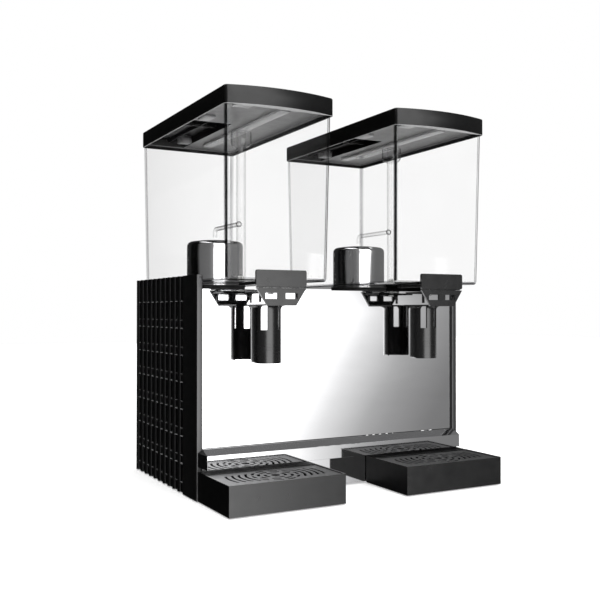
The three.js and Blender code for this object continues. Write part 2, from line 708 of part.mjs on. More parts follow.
// The moving part: a slotted half-tube that a cup pushes, under a windowed front. Two rails carry the bar
// that lifts the plunger.
function makeLever(x) {
  const plateY = [VALVE_FRONT_Y, VALVE_FRONT_Y + VALVE_PLATE];
  const rearY = FRONT_Y - 14;
  const skirt = outline([
    [x - SKIRT_BOTTOM_HALF, SKIRT_BOTTOM],
    [x + SKIRT_BOTTOM_HALF, SKIRT_BOTTOM],
    [x + SKIRT_TOP_HALF, SKIRT_TOP],
    [x - SKIRT_TOP_HALF, SKIRT_TOP],
  ]);
  const windows = [-1, 1].map((sign) =>
    box(spanXAt(x, sign, 6.6, 27.1), widened(plateY, 1), [310, 318.6]),
  );
  const front = cut(prismY(skirt, plateY), ...windows);

  const barZ = [320.5, 323.4];
  const liftBar = box([x - 37, x + 37], LIFT_BAR_Y, barZ);
  const rails = [-1, 1].map((sign) =>
    box(spanXAt(x, sign, 34.6, 37), [plateY[1] - 0.5, LIFT_BAR_Y[1]], barZ),
  );

  const floorZ = [SKIRT_BOTTOM - 1.2, SKIRT_BOTTOM + 1.3];
  const floor = box([x - SKIRT_BOTTOM_HALF, x + SKIRT_BOTTOM_HALF], [plateY[0] + 0.5, rearY], floorZ);

  const bore = LEVER_RADIUS - LEVER_WALL;
  const flare = 5.5;
  const tubeProfile = [
    [bore, LEVER_BOTTOM],
    [LEVER_RADIUS, LEVER_BOTTOM],
    [LEVER_RADIUS, floorZ[0] - flare],
    [LEVER_RADIUS + flare * 0.3, floorZ[0] - flare * 0.3],
    [LEVER_RADIUS + flare, floorZ[0] + 0.4],
    [bore, floorZ[0] + 0.4],
    [bore, LEVER_BOTTOM],
  ];
  const tube = turned(tubeProfile, [x, LEVER_Y], 24);
  const frontHalf = box([x - 24.4, x + 24.4], [LEVER_Y - 40, LEVER_Y + 5], [LEVER_BOTTOM - 1, floorZ[1]]);
  const halfTube = common(tube, frontHalf);

  const slots = [-1, 1].map((sign) =>
    box(spanXAt(x, sign, ...LEVER_SLOTS), [LEVER_Y - 40, LEVER_Y - 4], [LEVER_SLOT_BOTTOM, floorZ[0]]),
  );
  const drop = rod("z", [x, LEVER_Y], [floorZ[0] - 1, floorZ[1] + 1], bore, 24);
  const lugs = [-1, 1].map((sign) =>
    box(spanXAt(x, sign, 24.5, 28.5), [plateY[1] - 0.5, PIVOT_Y + 3.5], [PIVOT_Z - 4, SKIRT_TOP]),
  );
  const ridges = [];
  for (let i = 0; i < 3; i += 1) {
    const ridgeZ = [231 + 4 * i, 232.4 + 4 * i];
    ridges.push(box([x - 11, x + 11], [LEVER_Y - LEVER_RADIUS - 0.5, LEVER_Y - 20], ridgeZ));
  }
  const pad = common(
    join(ridges[0], ...ridges.slice(1)),
    rod("z", [x, LEVER_Y], [LEVER_BOTTOM, floorZ[0]], LEVER_RADIUS + 0.5, 24),
  );
  return cut(
    join(front, ...rails, floor, halfTube, ...lugs, liftBar, pad),
    ...slots,
    drop,
    makePinHole(x),
  );
}

function makePlunger(x) {
  const seat = TANK_FLOOR_Z + TANK_FLOOR + GAP;
  const stem = rod("z", [x, OUTLET_Y], [320, seat + 1], 2.6, 16);
  const knob = rod("z", [x, OUTLET_Y], [317.6, OUTLET_BOTTOM - 0.4], 4.6, 16);
  const head = rod("z", [x, OUTLET_Y], [seat, seat + 4], 8, 20);
  const tab = box([x - 1.7, x + 1.7], [OUTLET_Y + 1, OUTLET_Y + 17], [323.8, 326.2]);
  return join(stem, knob, head, tab);
}

// A torsion spring around the pin: a few turns of wire and one leg up behind the cap plate.
function makeSpring(x) {
  const turns = 3;
  const stepsPerTurn = 8;
  const radius = 3.3;
  const points = [];
  for (let i = 0; i <= turns * stepsPerTurn; i += 1) {
    const angle = (2 * Math.PI * i) / stepsPerTurn;
    const along = -5 + (10 * i) / (turns * stepsPerTurn);
    const [outY, outZ] = [radius * Math.cos(angle), radius * Math.sin(angle)];
    points.push(new THREE.Vector3(x + along, PIVOT_Y + outY, PIVOT_Z + outZ));
  }
  return tubeAlong(new THREE.CatmullRomCurve3(points), 0.55, 0, turns * stepsPerTurn, 3);
}

function buildValve({ name, sign }) {
  const { blackPlastic, satinSteel, whitePlastic } = MATERIALS;
  const x = (sign * TANK_PITCH) / 2;
  add(`valve_bracket_${name}`, makeValveBracket(x), blackPlastic);
  add(`push_lever_${name}`, makeLever(x), blackPlastic);
  add(`lever_pin_${name}`, rod("x", [PIVOT_Y, PIVOT_Z], [x - 33, x + 33], PIN_RADIUS, 16), satinSteel);
  add(`valve_plunger_${name}`, makePlunger(x), whitePlastic);
  add(`return_spring_${name}`, makeSpring(x), satinSteel);
}

// ---------------------------------------------------------------- drip trays

function makeTray(x) {
  const half = TRAY_WIDTH / 2;
  const width = [x - half, x + half];
  const floorZ = TRAY_BOTTOM + TRAY_WALL;
  const stepZ = GRATE_TOP - GRATE_SHEET - GAP;
  const block = box(width, [TRAY_FRONT_Y, TRAY_REAR_Y], [TRAY_BOTTOM, TRAY_TOP]);
  const rimY = [TRAY_FRONT_Y + TRAY_WALL, GRATE_REAR_Y];
  const rim = box(widened(width, -TRAY_WALL), rimY, [stepZ, TRAY_TOP + 1]);
  const inset = TRAY_WALL + TRAY_STEP;
  const basinY = [TRAY_FRONT_Y + inset, GRATE_REAR_Y - TRAY_STEP];
  const basin = box(widened(width, -inset), basinY, [floorZ, stepZ + 1]);
  const dockY = [GRATE_REAR_Y + 1, TRAY_REAR_Y - TRAY_WALL];
  const dock = box(widened(width, -TRAY_WALL), dockY, [TRAY_BOTTOM - 1, TRAY_TOP - TRAY_WALL]);
  return cut(block, rim, basin, dock);
}

function arcSlot(x, y, [inner, outer], [from, to]) {
  const shape = new THREE.Shape();
  shape.absarc(x, y, outer, from, to, false);
  shape.absarc(x, y, inner, to, from, true);
  return prismZ(shape, [GRATE_TOP - GRATE_SHEET - 1, GRATE_TOP + 1], 1);
}

// Ring slots around a centre hole, then longer arcs towards the two ends.
const GRATE_RINGS = [
  { radii: [13, 18], slots: 4, start: 0, spread: 1.2 },
  { radii: [23, 28], slots: 8, start: Math.PI / 8, spread: 0.6 },
  { radii: [33, 37.5], slots: 10, start: 0, spread: 0.46 },
];
const GRATE_END_ARCS = [
  { radii: [43, 47], spread: 1.25 },
  { radii: [53, 57], spread: 0.98 },
  { radii: [63, 67], spread: 0.8 },
  { radii: [73, 77], spread: 0.66 },
];

function makeGrate(x) {
  const half = TRAY_WIDTH / 2 - TRAY_WALL - 0.5;
  const y = [TRAY_FRONT_Y + TRAY_WALL + 0.5, GRATE_REAR_Y - 0.5];
  const centreY = (y[0] + y[1]) / 2;
  const sheet = box([x - half, x + half], y, [GRATE_TOP - GRATE_SHEET, GRATE_TOP]);
  const slots = [rod("z", [x, centreY], [GRATE_TOP - 4, GRATE_TOP + 1], 7, 16)];
  for (const { radii, slots: count, start, spread } of GRATE_RINGS) {
    for (let i = 0; i < count; i += 1) {
      const middle = start + (2 * Math.PI * i) / count;
      slots.push(arcSlot(x, centreY, radii, [middle - spread / 2, middle + spread / 2]));
    }
  }
  for (const { radii, spread } of GRATE_END_ARCS) {
    for (const middle of [0, Math.PI]) {
      slots.push(arcSlot(x, centreY, radii, [middle - spread / 2, middle + spread / 2]));
    }
  }
  return cut(sheet, ...slots);
}

function buildTray({ name, sign }) {
  const x = sign * (BODY_WIDTH / 2 - 2.1 - TRAY_WIDTH / 2);
  add(`drip_tray_${name}`, makeTray(x), MATERIALS.blackPlastic);
  add(`drip_grate_${name}`, makeGrate(x), MATERIALS.satinSteel);
}

// ---------------------------------------------------------------- controls and power

const ROCKER_Y = 201.5;
const ROCKER_Z = 263;
const ROCKERS = [
  { name: "power_switch", x: 134 },
  { name: "mixer_switch", x: 160 },
];
const KNOB_X = 200;

function makeSwitchCup() {
  const wall = 1.5;
  const shell = box(SWITCH_CUP.x, SWITCH_CUP.y, SWITCH_CUP.z);
  const plateY = [SWITCH_CUP.y[0], SWITCH_CUP.y[0] + wall];
  const inside = box(widened(SWITCH_CUP.x, -wall), [plateY[1], REAR_Y + 1], widened(SWITCH_CUP.z, -wall));
  const holeZ = [ROCKER_Z - 10, ROCKER_Z + 10];
  const holes = ROCKERS.map(({ x }) => box([x - 6.6, x + 6.6], widened(plateY, 1), holeZ));
  return cut(shell, inside, ...holes, rod("y", [KNOB_X, ROCKER_Z], widened(plateY, 1), 3.5, 16));
}

// A rocker pivots on its middle: a half-round back and a shallow V in front, resting on its low side.
function makeRocker(x) {
  const shape = new THREE.Shape();
  shape.moveTo(0, 9);
  shape.absarc(0, 0, 9, Math.PI / 2, 1.5 * Math.PI, false);
  shape.lineTo(5.5, -9);
  shape.lineTo(3.6, 0);
  shape.lineTo(5.5, 9);
  const rest = THREE.MathUtils.degToRad(-8);
  return prismX(shape, [-6, 6], 5).rotateX(rest).translate(x, ROCKER_Y, ROCKER_Z);
}

function makeKnob() {
  const grip = rod("y", [KNOB_X, ROCKER_Z], [SWITCH_CUP.y[0] + 2, 210.5], 11, 24);
  const pointer = box([KNOB_X - 1.2, KNOB_X + 1.2], [205, 211.5], [ROCKER_Z, ROCKER_Z + 10]);
  return join(grip, pointer, rod("y", [KNOB_X, ROCKER_Z], [190, 202], 3.1, 12));
}

function makeInlet() {
  const shell = box(INLET.x, INLET.y, INLET.z);
  const [x0, x1] = INLET.x;
  const [z0, z1] = INLET.z;
  const middleX = (x0 + x1) / 2;
  const middleZ = (z0 + z1) / 2;
  const pins = [-7, 0, 7].map((dx) =>
    box([middleX + dx - 1, middleX + dx + 1], [196, 208], [middleZ - 2.5, middleZ + 2.5]),
  );
  const socket = box([x0 + 10, x1 - 10], [198, 213], [z0 + 6, z1 - 6]);
  return join(cut(shell, socket), ...pins);
}

function buildControls() {
  const { blackPlastic, greyPlastic } = MATERIALS;
  add("switch_panel", makeSwitchCup(), blackPlastic);
  for (const { name, x } of ROCKERS) {
    add(name, makeRocker(x), greyPlastic);
  }
  add("thermostat_knob", makeKnob(), greyPlastic);
  add("power_inlet", makeInlet(), blackPlastic);
}

// ---------------------------------------------------------------- assembly

buildCasing();
buildRefrigeration();
for (const side of SIDES) {
  buildTank(side);
  buildValve(side);
  buildTray(side);
}
buildControls();

export default dispenser;
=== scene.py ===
"""The looks of a twin-tank refrigerated drink dispenser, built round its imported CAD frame.

Lengths are in metres in the frame's own axes: +Z up, the front with the taps towards -Y.
"""

import math

import bmesh
import bpy
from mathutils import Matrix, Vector


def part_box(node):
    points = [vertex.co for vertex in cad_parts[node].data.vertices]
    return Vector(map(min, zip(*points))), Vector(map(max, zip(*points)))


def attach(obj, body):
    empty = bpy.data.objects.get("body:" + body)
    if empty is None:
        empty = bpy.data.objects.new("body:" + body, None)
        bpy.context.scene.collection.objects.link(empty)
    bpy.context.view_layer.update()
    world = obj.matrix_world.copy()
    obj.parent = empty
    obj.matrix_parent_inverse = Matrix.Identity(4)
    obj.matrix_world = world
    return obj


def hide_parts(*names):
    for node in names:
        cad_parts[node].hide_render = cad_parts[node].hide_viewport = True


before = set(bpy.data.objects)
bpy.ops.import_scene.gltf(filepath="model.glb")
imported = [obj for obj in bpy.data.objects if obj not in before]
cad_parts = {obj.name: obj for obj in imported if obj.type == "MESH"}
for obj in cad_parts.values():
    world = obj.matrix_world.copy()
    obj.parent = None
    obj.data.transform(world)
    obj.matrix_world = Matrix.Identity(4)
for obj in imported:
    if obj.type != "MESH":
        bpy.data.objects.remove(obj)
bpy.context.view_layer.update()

MM = 0.001
SIDES = ("left", "right")
SIGN = {"left": -1, "right": 1}
SIDEWAYS = 0.7  # a face whose normal leans this far to one side counts as a side face
REARWARD = 0.3
UPWARD = 0.5

# ---------------------------------------------------------------- mesh helpers


def new_object(name, bm):
    """A scene object from a bmesh, with its normals facing out."""
    bmesh.ops.recalc_face_normals(bm, faces=bm.faces)
    mesh = bpy.data.meshes.new(name)
    bm.to_mesh(mesh)
    bm.free()
    made = bpy.data.objects.new(name, mesh)
    bpy.context.scene.collection.objects.link(made)
    return made


def settle(obj):
    """Turns an object's modifiers into its mesh."""
    bpy.context.view_layer.update()
    graph = bpy.context.evaluated_depsgraph_get()
    mesh = bpy.data.meshes.new_from_object(obj.evaluated_get(graph))
    old = obj.data
    obj.modifiers.clear()
    obj.data = mesh
    bpy.data.meshes.remove(old)
    return obj


def arc(centre, radius, start, end, steps):
    """Points on a circle from one angle to another in degrees, both ends included."""
    points = []
    for i in range(steps + 1):
        angle = math.radians(start + (end - start) * i / steps)
        points.append((centre[0] + radius * math.cos(angle), centre[1] + radius * math.sin(angle)))
    return points


def loft(name, loops, slot=None):
    """A closed skin through loops of equal length, capped at both ends.

    slot(row, column) gives the number of each face's material.
    """
    bm = bmesh.new()
    rings = [[bm.verts.new(point) for point in loop] for loop in loops]
    count = len(rings[0])
    for row, (low, high) in enumerate(zip(rings, rings[1:])):
        for column in range(count):
            after = (column + 1) % count
            face = bm.faces.new((low[column], low[after], high[after], high[column]))
            if slot:
                face.material_index = slot(row, column)
    bm.faces.new(rings[0])
    bm.faces.new(rings[-1])
    return new_object(name, bm)


def prism(name, outline, axis, low, high):
    """An outline carried along an axis. It is drawn in (y, z), (x, z) or (x, y) for axis X, Y or Z."""
    place = {
        "X": lambda a, b, t: (t, a, b),
        "Y": lambda a, b, t: (a, t, b),
        "Z": lambda a, b, t: (a, b, t),
    }[axis]
    return loft(name, [[place(a, b, t) for a, b in outline] for t in (low, high)])


def block(name, x, y, z):
    outline = [(x[0], y[0]), (x[1], y[0]), (x[1], y[1]), (x[0], y[1])]
    return prism(name, outline, "Z", *z)


def rod(name, axis, centre, radius, low, high, segments=32):
    outline = arc(centre, radius, 0, 360, segments)[:-1]
    return prism(name, outline, axis, low, high)


def turned(name, profile, centre, segments=96):
    """A profile of (radius, height) points spun about an upright axis; radius 0 closes it."""
    bm = bmesh.new()
    rings = []
    for radius, height in profile:
        if radius == 0:
            rings.append([bm.verts.new((centre[0], centre[1], height))] * segments)
            continue
        ring = arc(centre, radius, 0, 360, segments)[:-1]
        rings.append([bm.verts.new((x, y, height)) for x, y in ring])
    for low, high in zip(rings, rings[1:]):
        for i in range(segments):
            after = (i + 1) % segments
            corners = [low[i], low[after], high[after], high[i]]
            bm.faces.new(list(dict.fromkeys(corners)))
    bmesh.ops.remove_doubles(bm, verts=bm.verts, dist=1e-7)
    return new_object(name, bm)


def tube(name, path, radius, bore=0.0, sides=24):
    """A round tube along a path of points; with a bore it is hollow and open at both ends."""
    points = [Vector(point) for point in path]
    side = Vector((1, 0, 0))
    outer, inner = [], []
    for i, point in enumerate(points):
        ahead = points[min(i + 1, len(points) - 1)] - points[max(i - 1, 0)]
        ahead.normalize()
        side = (side - side.dot(ahead) * ahead).normalized()
        up = ahead.cross(side)
        for rings, r in ((outer, radius), (inner, bore)):
            ring = []
            for k in range(sides):
                angle = 2 * math.pi * k / sides
                ring.append(point + r * (math.cos(angle) * side + math.sin(angle) * up))
            rings.append(ring)
    if not bore:
        return loft(name, outer)
    bm = bmesh.new()
    rings = [[bm.verts.new(p) for p in ring] for ring in outer + inner[::-1]]
    for low, high in zip(rings, rings[1:] + rings[:1]):
        for k in range(sides):
            after = (k + 1) % sides
            bm.faces.new((low[k], low[after], high[after], high[k]))
    return new_object(name, bm)


def merged(name, objects):
    """Puts several separate closed meshes in one object."""
    bm = bmesh.new()
    for obj in objects:
        bm.from_mesh(obj.data)
        bpy.data.objects.remove(obj)
    return new_object(name, bm)


def combine(obj, tools, operation):
    """Cuts tools from obj, or joins or intersects them with it."""
    for tool in tools:
        modifier = obj.modifiers.new("combine", "BOOLEAN")
        modifier.operation = operation
        modifier.solver = "EXACT"
        modifier.object = tool
    settle(obj)
    for tool in tools:
        bpy.data.objects.remove(tool)
    return obj


def cut(obj, *tools):
    return combine(obj, tools, "DIFFERENCE")


def join(obj, *tools):
    return combine(obj, tools, "UNION")


def keep(obj, *tools):
    return combine(obj, tools, "INTERSECT")


def smooth(obj, angle=38):
    """Smooth shading with creases where faces meet at more than angle."""
    mesh = obj.data
    mesh.polygons.foreach_set("use_smooth", [True] * len(mesh.polygons))
    mesh.set_sharp_from_angle(angle=math.radians(angle))
    return obj


def soften(obj, width, segments=3, angle=38):
    """Rounds the sharp edges of a finished shape."""
    smooth(obj, 180)
    bevel = obj.modifiers.new("soften", "BEVEL")
    bevel.width = width
    bevel.segments = segments
    bevel.limit_method = "ANGLE"
    bevel.angle_limit = math.radians(angle)
    bevel.harden_normals = True
    return settle(obj)


def soften_cad(cad_node, width, angle=38):
    """Rounds a CAD node's sharp edges with live modifiers; its own mesh stays as packed."""
    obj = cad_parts[cad_node]
    weld = obj.modifiers.new("weld", "WELD")
    weld.merge_threshold = 1e-6
    plain = obj.modifiers.new("plain_faces", "DECIMATE")
    plain.decimate_type = "DISSOLVE"
    plain.angle_limit = math.radians(0.5)
    bevel = obj.modifiers.new("soften", "BEVEL")
    bevel.width = width
    bevel.segments = 2
    bevel.limit_method = "ANGLE"
    bevel.angle_limit = math.radians(angle)
    return obj


def paint(obj, *materials):
    """Gives an object its materials; its faces keep their material numbers."""
    numbers = [face.material_index for face in obj.data.polygons]
    obj.data.materials.clear()
    for material in materials:
        obj.data.materials.append(material)
    obj.data.polygons.foreach_set("material_index", numbers)
    return obj


def finish_piece(obj, body, slot, cad_node, *materials):
    """Gives a piece its materials and its body, and hides the CAD node that it stands for. Its slot is not
    used.
    """
    paint(obj, *materials)
    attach(obj, body)
    if cad_node:
        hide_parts(cad_node)
    return obj


# ---------------------------------------------------------------- material helpers


def new_material(name):
    material = bpy.data.materials.new(name)
    material.use_nodes = True
    tree = material.node_tree
    return material, tree, tree.nodes["Principled BSDF"]


def node(tree, kind, inputs=None, **settings):
    """A shader node with its settings, plain input values and links from other sockets."""
    made = tree.nodes.new(kind)
    for key, value in settings.items():
        setattr(made, key, value)
    for key, value in (inputs or {}).items():
        if isinstance(value, bpy.types.NodeSocket):
            tree.links.new(value, made.inputs[key])
        else:
            made.inputs[key].default_value = value
    return made


def noise(tree, scale, detail=3.0, stretch=(1, 1, 1)):
    """Noise over the object's own place, in features per metre; stretch draws it out along an axis."""
    place = node(tree, "ShaderNodeTexCoord")
    mapping = node(tree, "ShaderNodeMapping", {"Vector": place.outputs["Object"], "Scale": stretch})
    inputs = {"Vector": mapping.outputs["Vector"], "Scale": scale, "Detail": detail}
    return node(tree, "ShaderNodeTexNoise", inputs).outputs["Fac"]


def spread(tree, value, low, high, start=0.3, end=0.7):
    """Maps a noise value to a range."""
    inputs = {"Value": value, "From Min": start, "From Max": end, "To Min": low, "To Max": high}
    return node(tree, "ShaderNodeMapRange", inputs).outputs["Result"]


def blend_colours(tree, factor, first, second):
    mix = node(tree, "ShaderNodeMix", data_type="RGBA")
    tree.links.new(factor, mix.inputs[0])
    colour = [socket for socket in mix.inputs if socket.type == "RGBA"]
    colour[0].default_value = (*first, 1)
    colour[1].default_value = (*second, 1)
    return [socket for socket in mix.outputs if socket.type == "RGBA"][0]


def bump(tree, shader, height, strength, distance):
    inputs = {"Height": height, "Strength": strength, "Distance": distance}
    made = node(tree, "ShaderNodeBump", inputs)
    tree.links.new(made.outputs["Normal"], shader.inputs["Normal"])


def tone(colour, factor):
    return tuple(channel * factor for channel in colour)


def moulded_plastic(name, colour, roughness, grain=0.12, specular=0.5):
    """Moulded plastic: a fine spark-eroded grain, with a sheen that wanders a little over the piece."""
    material, tree, shader = new_material(name)
    cloud = noise(tree, 22, 4)
    tint = blend_colours(tree, spread(tree, cloud, 0, 1), tone(colour, 0.86), tone(colour, 1.14))
    tree.links.new(tint, shader.inputs["Base Color"])
    wander = spread(tree, noise(tree, 60, 5), roughness - 0.035, roughness + 0.035)
    tree.links.new(wander, shader.inputs["Roughness"])
    shader.inputs["Specular IOR Level"].default_value = specular
    bump(tree, shader, noise(tree, 2600, 2), grain, 0.1 * MM)
    return material


def brushed_metal(name, colour, roughness, along=(1, 60, 60), depth=0.12):
    """Metal sheet with fine lines drawn along one axis."""
    material, tree, shader = new_material(name)
    lines = noise(tree, 30, 5, along)
    tint = blend_colours(tree, spread(tree, lines, 0, 1), tone(colour, 0.9), tone(colour, 1.06))
    tree.links.new(tint, shader.inputs["Base Color"])
    shader.inputs["Metallic"].default_value = 1.0
    tree.links.new(spread(tree, lines, roughness - 0.06, roughness + 0.07), shader.inputs["Roughness"])
    bump(tree, shader, lines, depth, 0.05 * MM)
    return material


def polished_metal(name, colour, roughness):
    """Mirror-polished metal with faint wiping marks that only show in its gloss."""
    material, tree, shader = new_material(name)
    marks = noise(tree, 9, 6, (1, 2, 3))
    tint = blend_colours(tree, spread(tree, marks, 0, 1), tone(colour, 0.97), tone(colour, 1.02))
    tree.links.new(tint, shader.inputs["Base Color"])
    shader.inputs["Metallic"].default_value = 1.0
    tree.links.new(spread(tree, marks, roughness, roughness * 2.2), shader.inputs["Roughness"])
    return material


def clear_plastic(name, tint_and_shade_low, tint_and_shade_high, rim=0.0, index=1.46):
    """Clear polycarbonate wall: what is behind it passes straight through, and it mirrors by angle. With a
    rim it is painted darker towards its outline.
    """
    material, tree, shader = new_material(name)
    tree.nodes.remove(shader)
    cloud = noise(tree, 14, 3)
    tint = blend_colours(tree, spread(tree, cloud, 0, 1), tint_and_shade_low, tint_and_shade_high)
    # Painted shade: rim darkens the wall where it is seen edge on, towards its outline.
    if rim:
        edge = node(tree, "ShaderNodeLayerWeight", {"Blend": 0.5}).outputs["Facing"]
        shade = spread(tree, edge, 0, rim, 0.62, 0.95)
        dark = node(tree, "ShaderNodeMix", data_type="RGBA")
        tree.links.new(shade, dark.inputs[0])
        tree.links.new(tint, [socket for socket in dark.inputs if socket.type == "RGBA"][0])
        [socket for socket in dark.inputs if socket.type == "RGBA"][1].default_value = (0.02, 0.02, 0.02, 1)
        tint = [socket for socket in dark.outputs if socket.type == "RGBA"][0]
    through = node(tree, "ShaderNodeBsdfTransparent", {"Color": tint})
    roughness = spread(tree, noise(tree, 40, 4), 0.012, 0.04)
    mirror = node(tree, "ShaderNodeBsdfGlossy", {"Roughness": roughness})
    facing = node(tree, "ShaderNodeNewGeometry")
    outward = node(tree, "ShaderNodeMath", {0: 1.0, 1: facing.outputs["Backfacing"]}, operation="SUBTRACT")
    fresnel = node(tree, "ShaderNodeFresnel", {"IOR": index})
    strength = node(
        tree, "ShaderNodeMath", {0: fresnel.outputs["Fac"], 1: outward.outputs[0]}, operation="MULTIPLY"
    )
    mix = node(tree, "ShaderNodeMixShader", {"Fac": strength.outputs[0]})
    tree.links.new(through.outputs["BSDF"], mix.inputs[1])
    tree.links.new(mirror.outputs["BSDF"], mix.inputs[2])
    tree.links.new(mix.outputs["Shader"], tree.nodes["Material Output"].inputs["Surface"])
    return material


BLACK = moulded_plastic("black_moulding", (0.003, 0.003, 0.0032), 0.32)
PANEL_BLACK = moulded_plastic("black_side_panel", (0.0022, 0.0022, 0.0024), 0.34, specular=0.18)
# Painted highlight: grey lips along the windows of the black side panels stand for the light that the window
# edges catch.
LIP_PAINTED_HIGHLIGHT = moulded_plastic("window_lip_painted_highlight", (0.24, 0.24, 0.242), 0.45, specular=0.5)
LID_BLACK = moulded_plastic("black_lid", (0.0025, 0.0025, 0.0027), 0.33, grain=0.06, specular=0.4)
# Painted reflection: the black lid's inside and its ribs are grey to stand for the pale floor mirrored in
# them.
LID_INSIDE_PAINTED_LIGHT = moulded_plastic("lid_inside_painted_light", (0.11, 0.11, 0.111), 0.36)
LID_RIB_PAINTED_LIGHT = moulded_plastic("lid_rib_painted_light", (0.3, 0.3, 0.302), 0.36)
# Painted shade: an even darker, duller black for the lid's pocket, its fins, its step walls and its left and
# right faces.
LID_PAINTED_SHADE = moulded_plastic("lid_painted_shade", (0.002, 0.002, 0.002), 0.5, specular=0.25)
TRAY_BLACK = moulded_plastic("black_tray", (0.003, 0.003, 0.0032), 0.24, grain=0.06, specular=0.68)
# Painted light: a lighter copy of the tray's black for the rim faces that look up.
TRAY_TOP_PAINTED_LIGHT = moulded_plastic("tray_top_painted_light", (0.05, 0.05, 0.0505), 0.3, grain=0.06)
TAP_BLACK = moulded_plastic("black_tap", (0.004, 0.004, 0.0042), 0.25, grain=0.06, specular=0.72)
# Painted shade: a darker, duller copy of the black mouldings for faces that look to the rear or to the
# sides, and for the tray's shelf under the ledge.
BLACK_PAINTED_SHADE = moulded_plastic("black_painted_shade", (0.002, 0.002, 0.0022), 0.5, grain=0.06, specular=0.12)

GREY = moulded_plastic("grey_moulding", (0.03, 0.03, 0.031), 0.42)
WHITE = moulded_plastic("white_acetal", (0.72, 0.72, 0.7), 0.35, grain=0.05)
RUBBER = moulded_plastic("rubber", (0.012, 0.012, 0.012), 0.7, grain=0.3, specular=0.3)
ENAMEL = moulded_plastic("black_enamel", (0.014, 0.014, 0.015), 0.3, grain=0.06)
MIRROR = polished_metal("mirror_steel", (0.84, 0.84, 0.85), 0.025)
DOME_STEEL = polished_metal("dome_steel", (0.8, 0.8, 0.81), 0.03)
SATIN = brushed_metal("satin_steel", (0.42, 0.42, 0.43), 0.38, (60, 60, 1))
TRIM = brushed_metal("trim_steel", (0.085, 0.085, 0.086), 0.34, (60, 60, 1))
SHEET = brushed_metal("zinc_sheet", (0.42, 0.43, 0.44), 0.42, (60, 1, 60))
GRATE = brushed_metal("grate_steel", (0.15, 0.15, 0.152), 0.36, (1, 40, 40), 0.06)
COPPER = brushed_metal("copper_tube", (0.55, 0.28, 0.16), 0.3, (40, 40, 40))
FINS = brushed_metal("condenser_fins", (0.06, 0.06, 0.065), 0.4, (40, 1, 40))
CLEAR = clear_plastic("clear_wall", (0.994, 0.994, 0.994), (0.999, 0.999, 0.999), index=1.28)
# Painted shade: darker clear walls for the tank's bends and corners, standing in for the shade that
# refraction gives there.
CLEAR_EDGE_PAINTED_SHADE = clear_plastic("clear_edge_painted_shade", (0.07, 0.07, 0.072), (0.12, 0.12, 0.122))
CLEAR_CORNER_PAINTED_SHADE = clear_plastic("clear_corner_painted_shade", (0.7, 0.7, 0.705), (0.78, 0.78, 0.785))
# The tubes carry the painted shade towards their outline.
CLEAR_TUBE = clear_plastic("clear_tube", (0.975, 0.975, 0.975), (0.99, 0.99, 0.99), rim=0.8)

# ---------------------------------------------------------------- lids

CORNER_STEPS = 8
FRONT_STEPS = 18
LID_BULGE = 13 * MM
LID_RADIUS = 7 * MM
LID_ROLL = 2.4 * MM
LID_WALL = 1.6 * MM
LID_STEP = 6 * MM
LID_REST = 3.1 * MM
LID_CEILING = 7.5 * MM
LID_CROWN = 14 * MM
CEILING_AREA = 0.01  # square metres; only the lid's ceiling is larger
# Material numbers on a lid: its black cover, the painted reflection on its inside and ribs, and its painted
# shade.
LID_COVER_FACE, LID_LIT_INSIDE_FACE, LID_LIT_RIB_FACE, LID_SHADED_FACE = range(4)
# The pocket, ribs, pads and fins under a lid, in millimetres: across from its middle, along the machine, and
# up from the ceiling; last the face number that gives its painted reflection or its painted shade.
LID_POCKET_SPAN = {"across": (-81, -12), "along": (-22, 200), "rise": 12}
LID_STIFFENERS = (
    ((10, 27), (-156, 160), (-4, 0.6), LID_LIT_RIB_FACE),
    ((-63, -36), (-166, -140), (-2, 0.6), LID_LIT_RIB_FACE),
    ((-76, -58), (-64, -34), (-3, 0.6), LID_LIT_RIB_FACE),
    ((-44, -41), (-22, 200), (6, 12.5), LID_SHADED_FACE),
    ((-81, -12), (38, 41), (5, 12.5), LID_SHADED_FACE),
    ((-36, -16), (150, 172), (-1, 12.5), LID_LIT_INSIDE_FACE),
)


def rounded_loop(x, y, z, radius, bulge=0.0):
    """A rectangle with round corners at one height; its front edge may bulge forward."""
    middle = (x[0] + x[1]) / 2
    half = (x[1] - x[0]) / 2 - radius
    tilt = math.atan(2 * bulge / half)
    reach = half + radius * math.sin(tilt)
    start = radius * (1 - math.cos(tilt))
    points = []
    for i in range(1, FRONT_STEPS):
        along = -reach + 2 * reach * i / FRONT_STEPS
        sag = (bulge + start) * (1 - (along / reach) ** 2)
        points.append((middle + along, y[0] + start - sag, z))
    turn = math.degrees(tilt)
    corners = (
        ((x[1] - radius, y[0] + radius), -90 + turn, 0),
        ((x[1] - radius, y[1] - radius), 0, 90),
        ((x[0] + radius, y[1] - radius), 90, 180),
        ((x[0] + radius, y[0] + radius), 180, 270 - turn),
    )
    for centre, first, last in corners:
        points += [(a, b, z) for a, b in arc(centre, radius, first, last, CORNER_STEPS)]
    return points


def inset(span, margin):
    return (span[0] + margin, span[1] - margin)


def widen(span, margin):
    return inset(span, -margin)


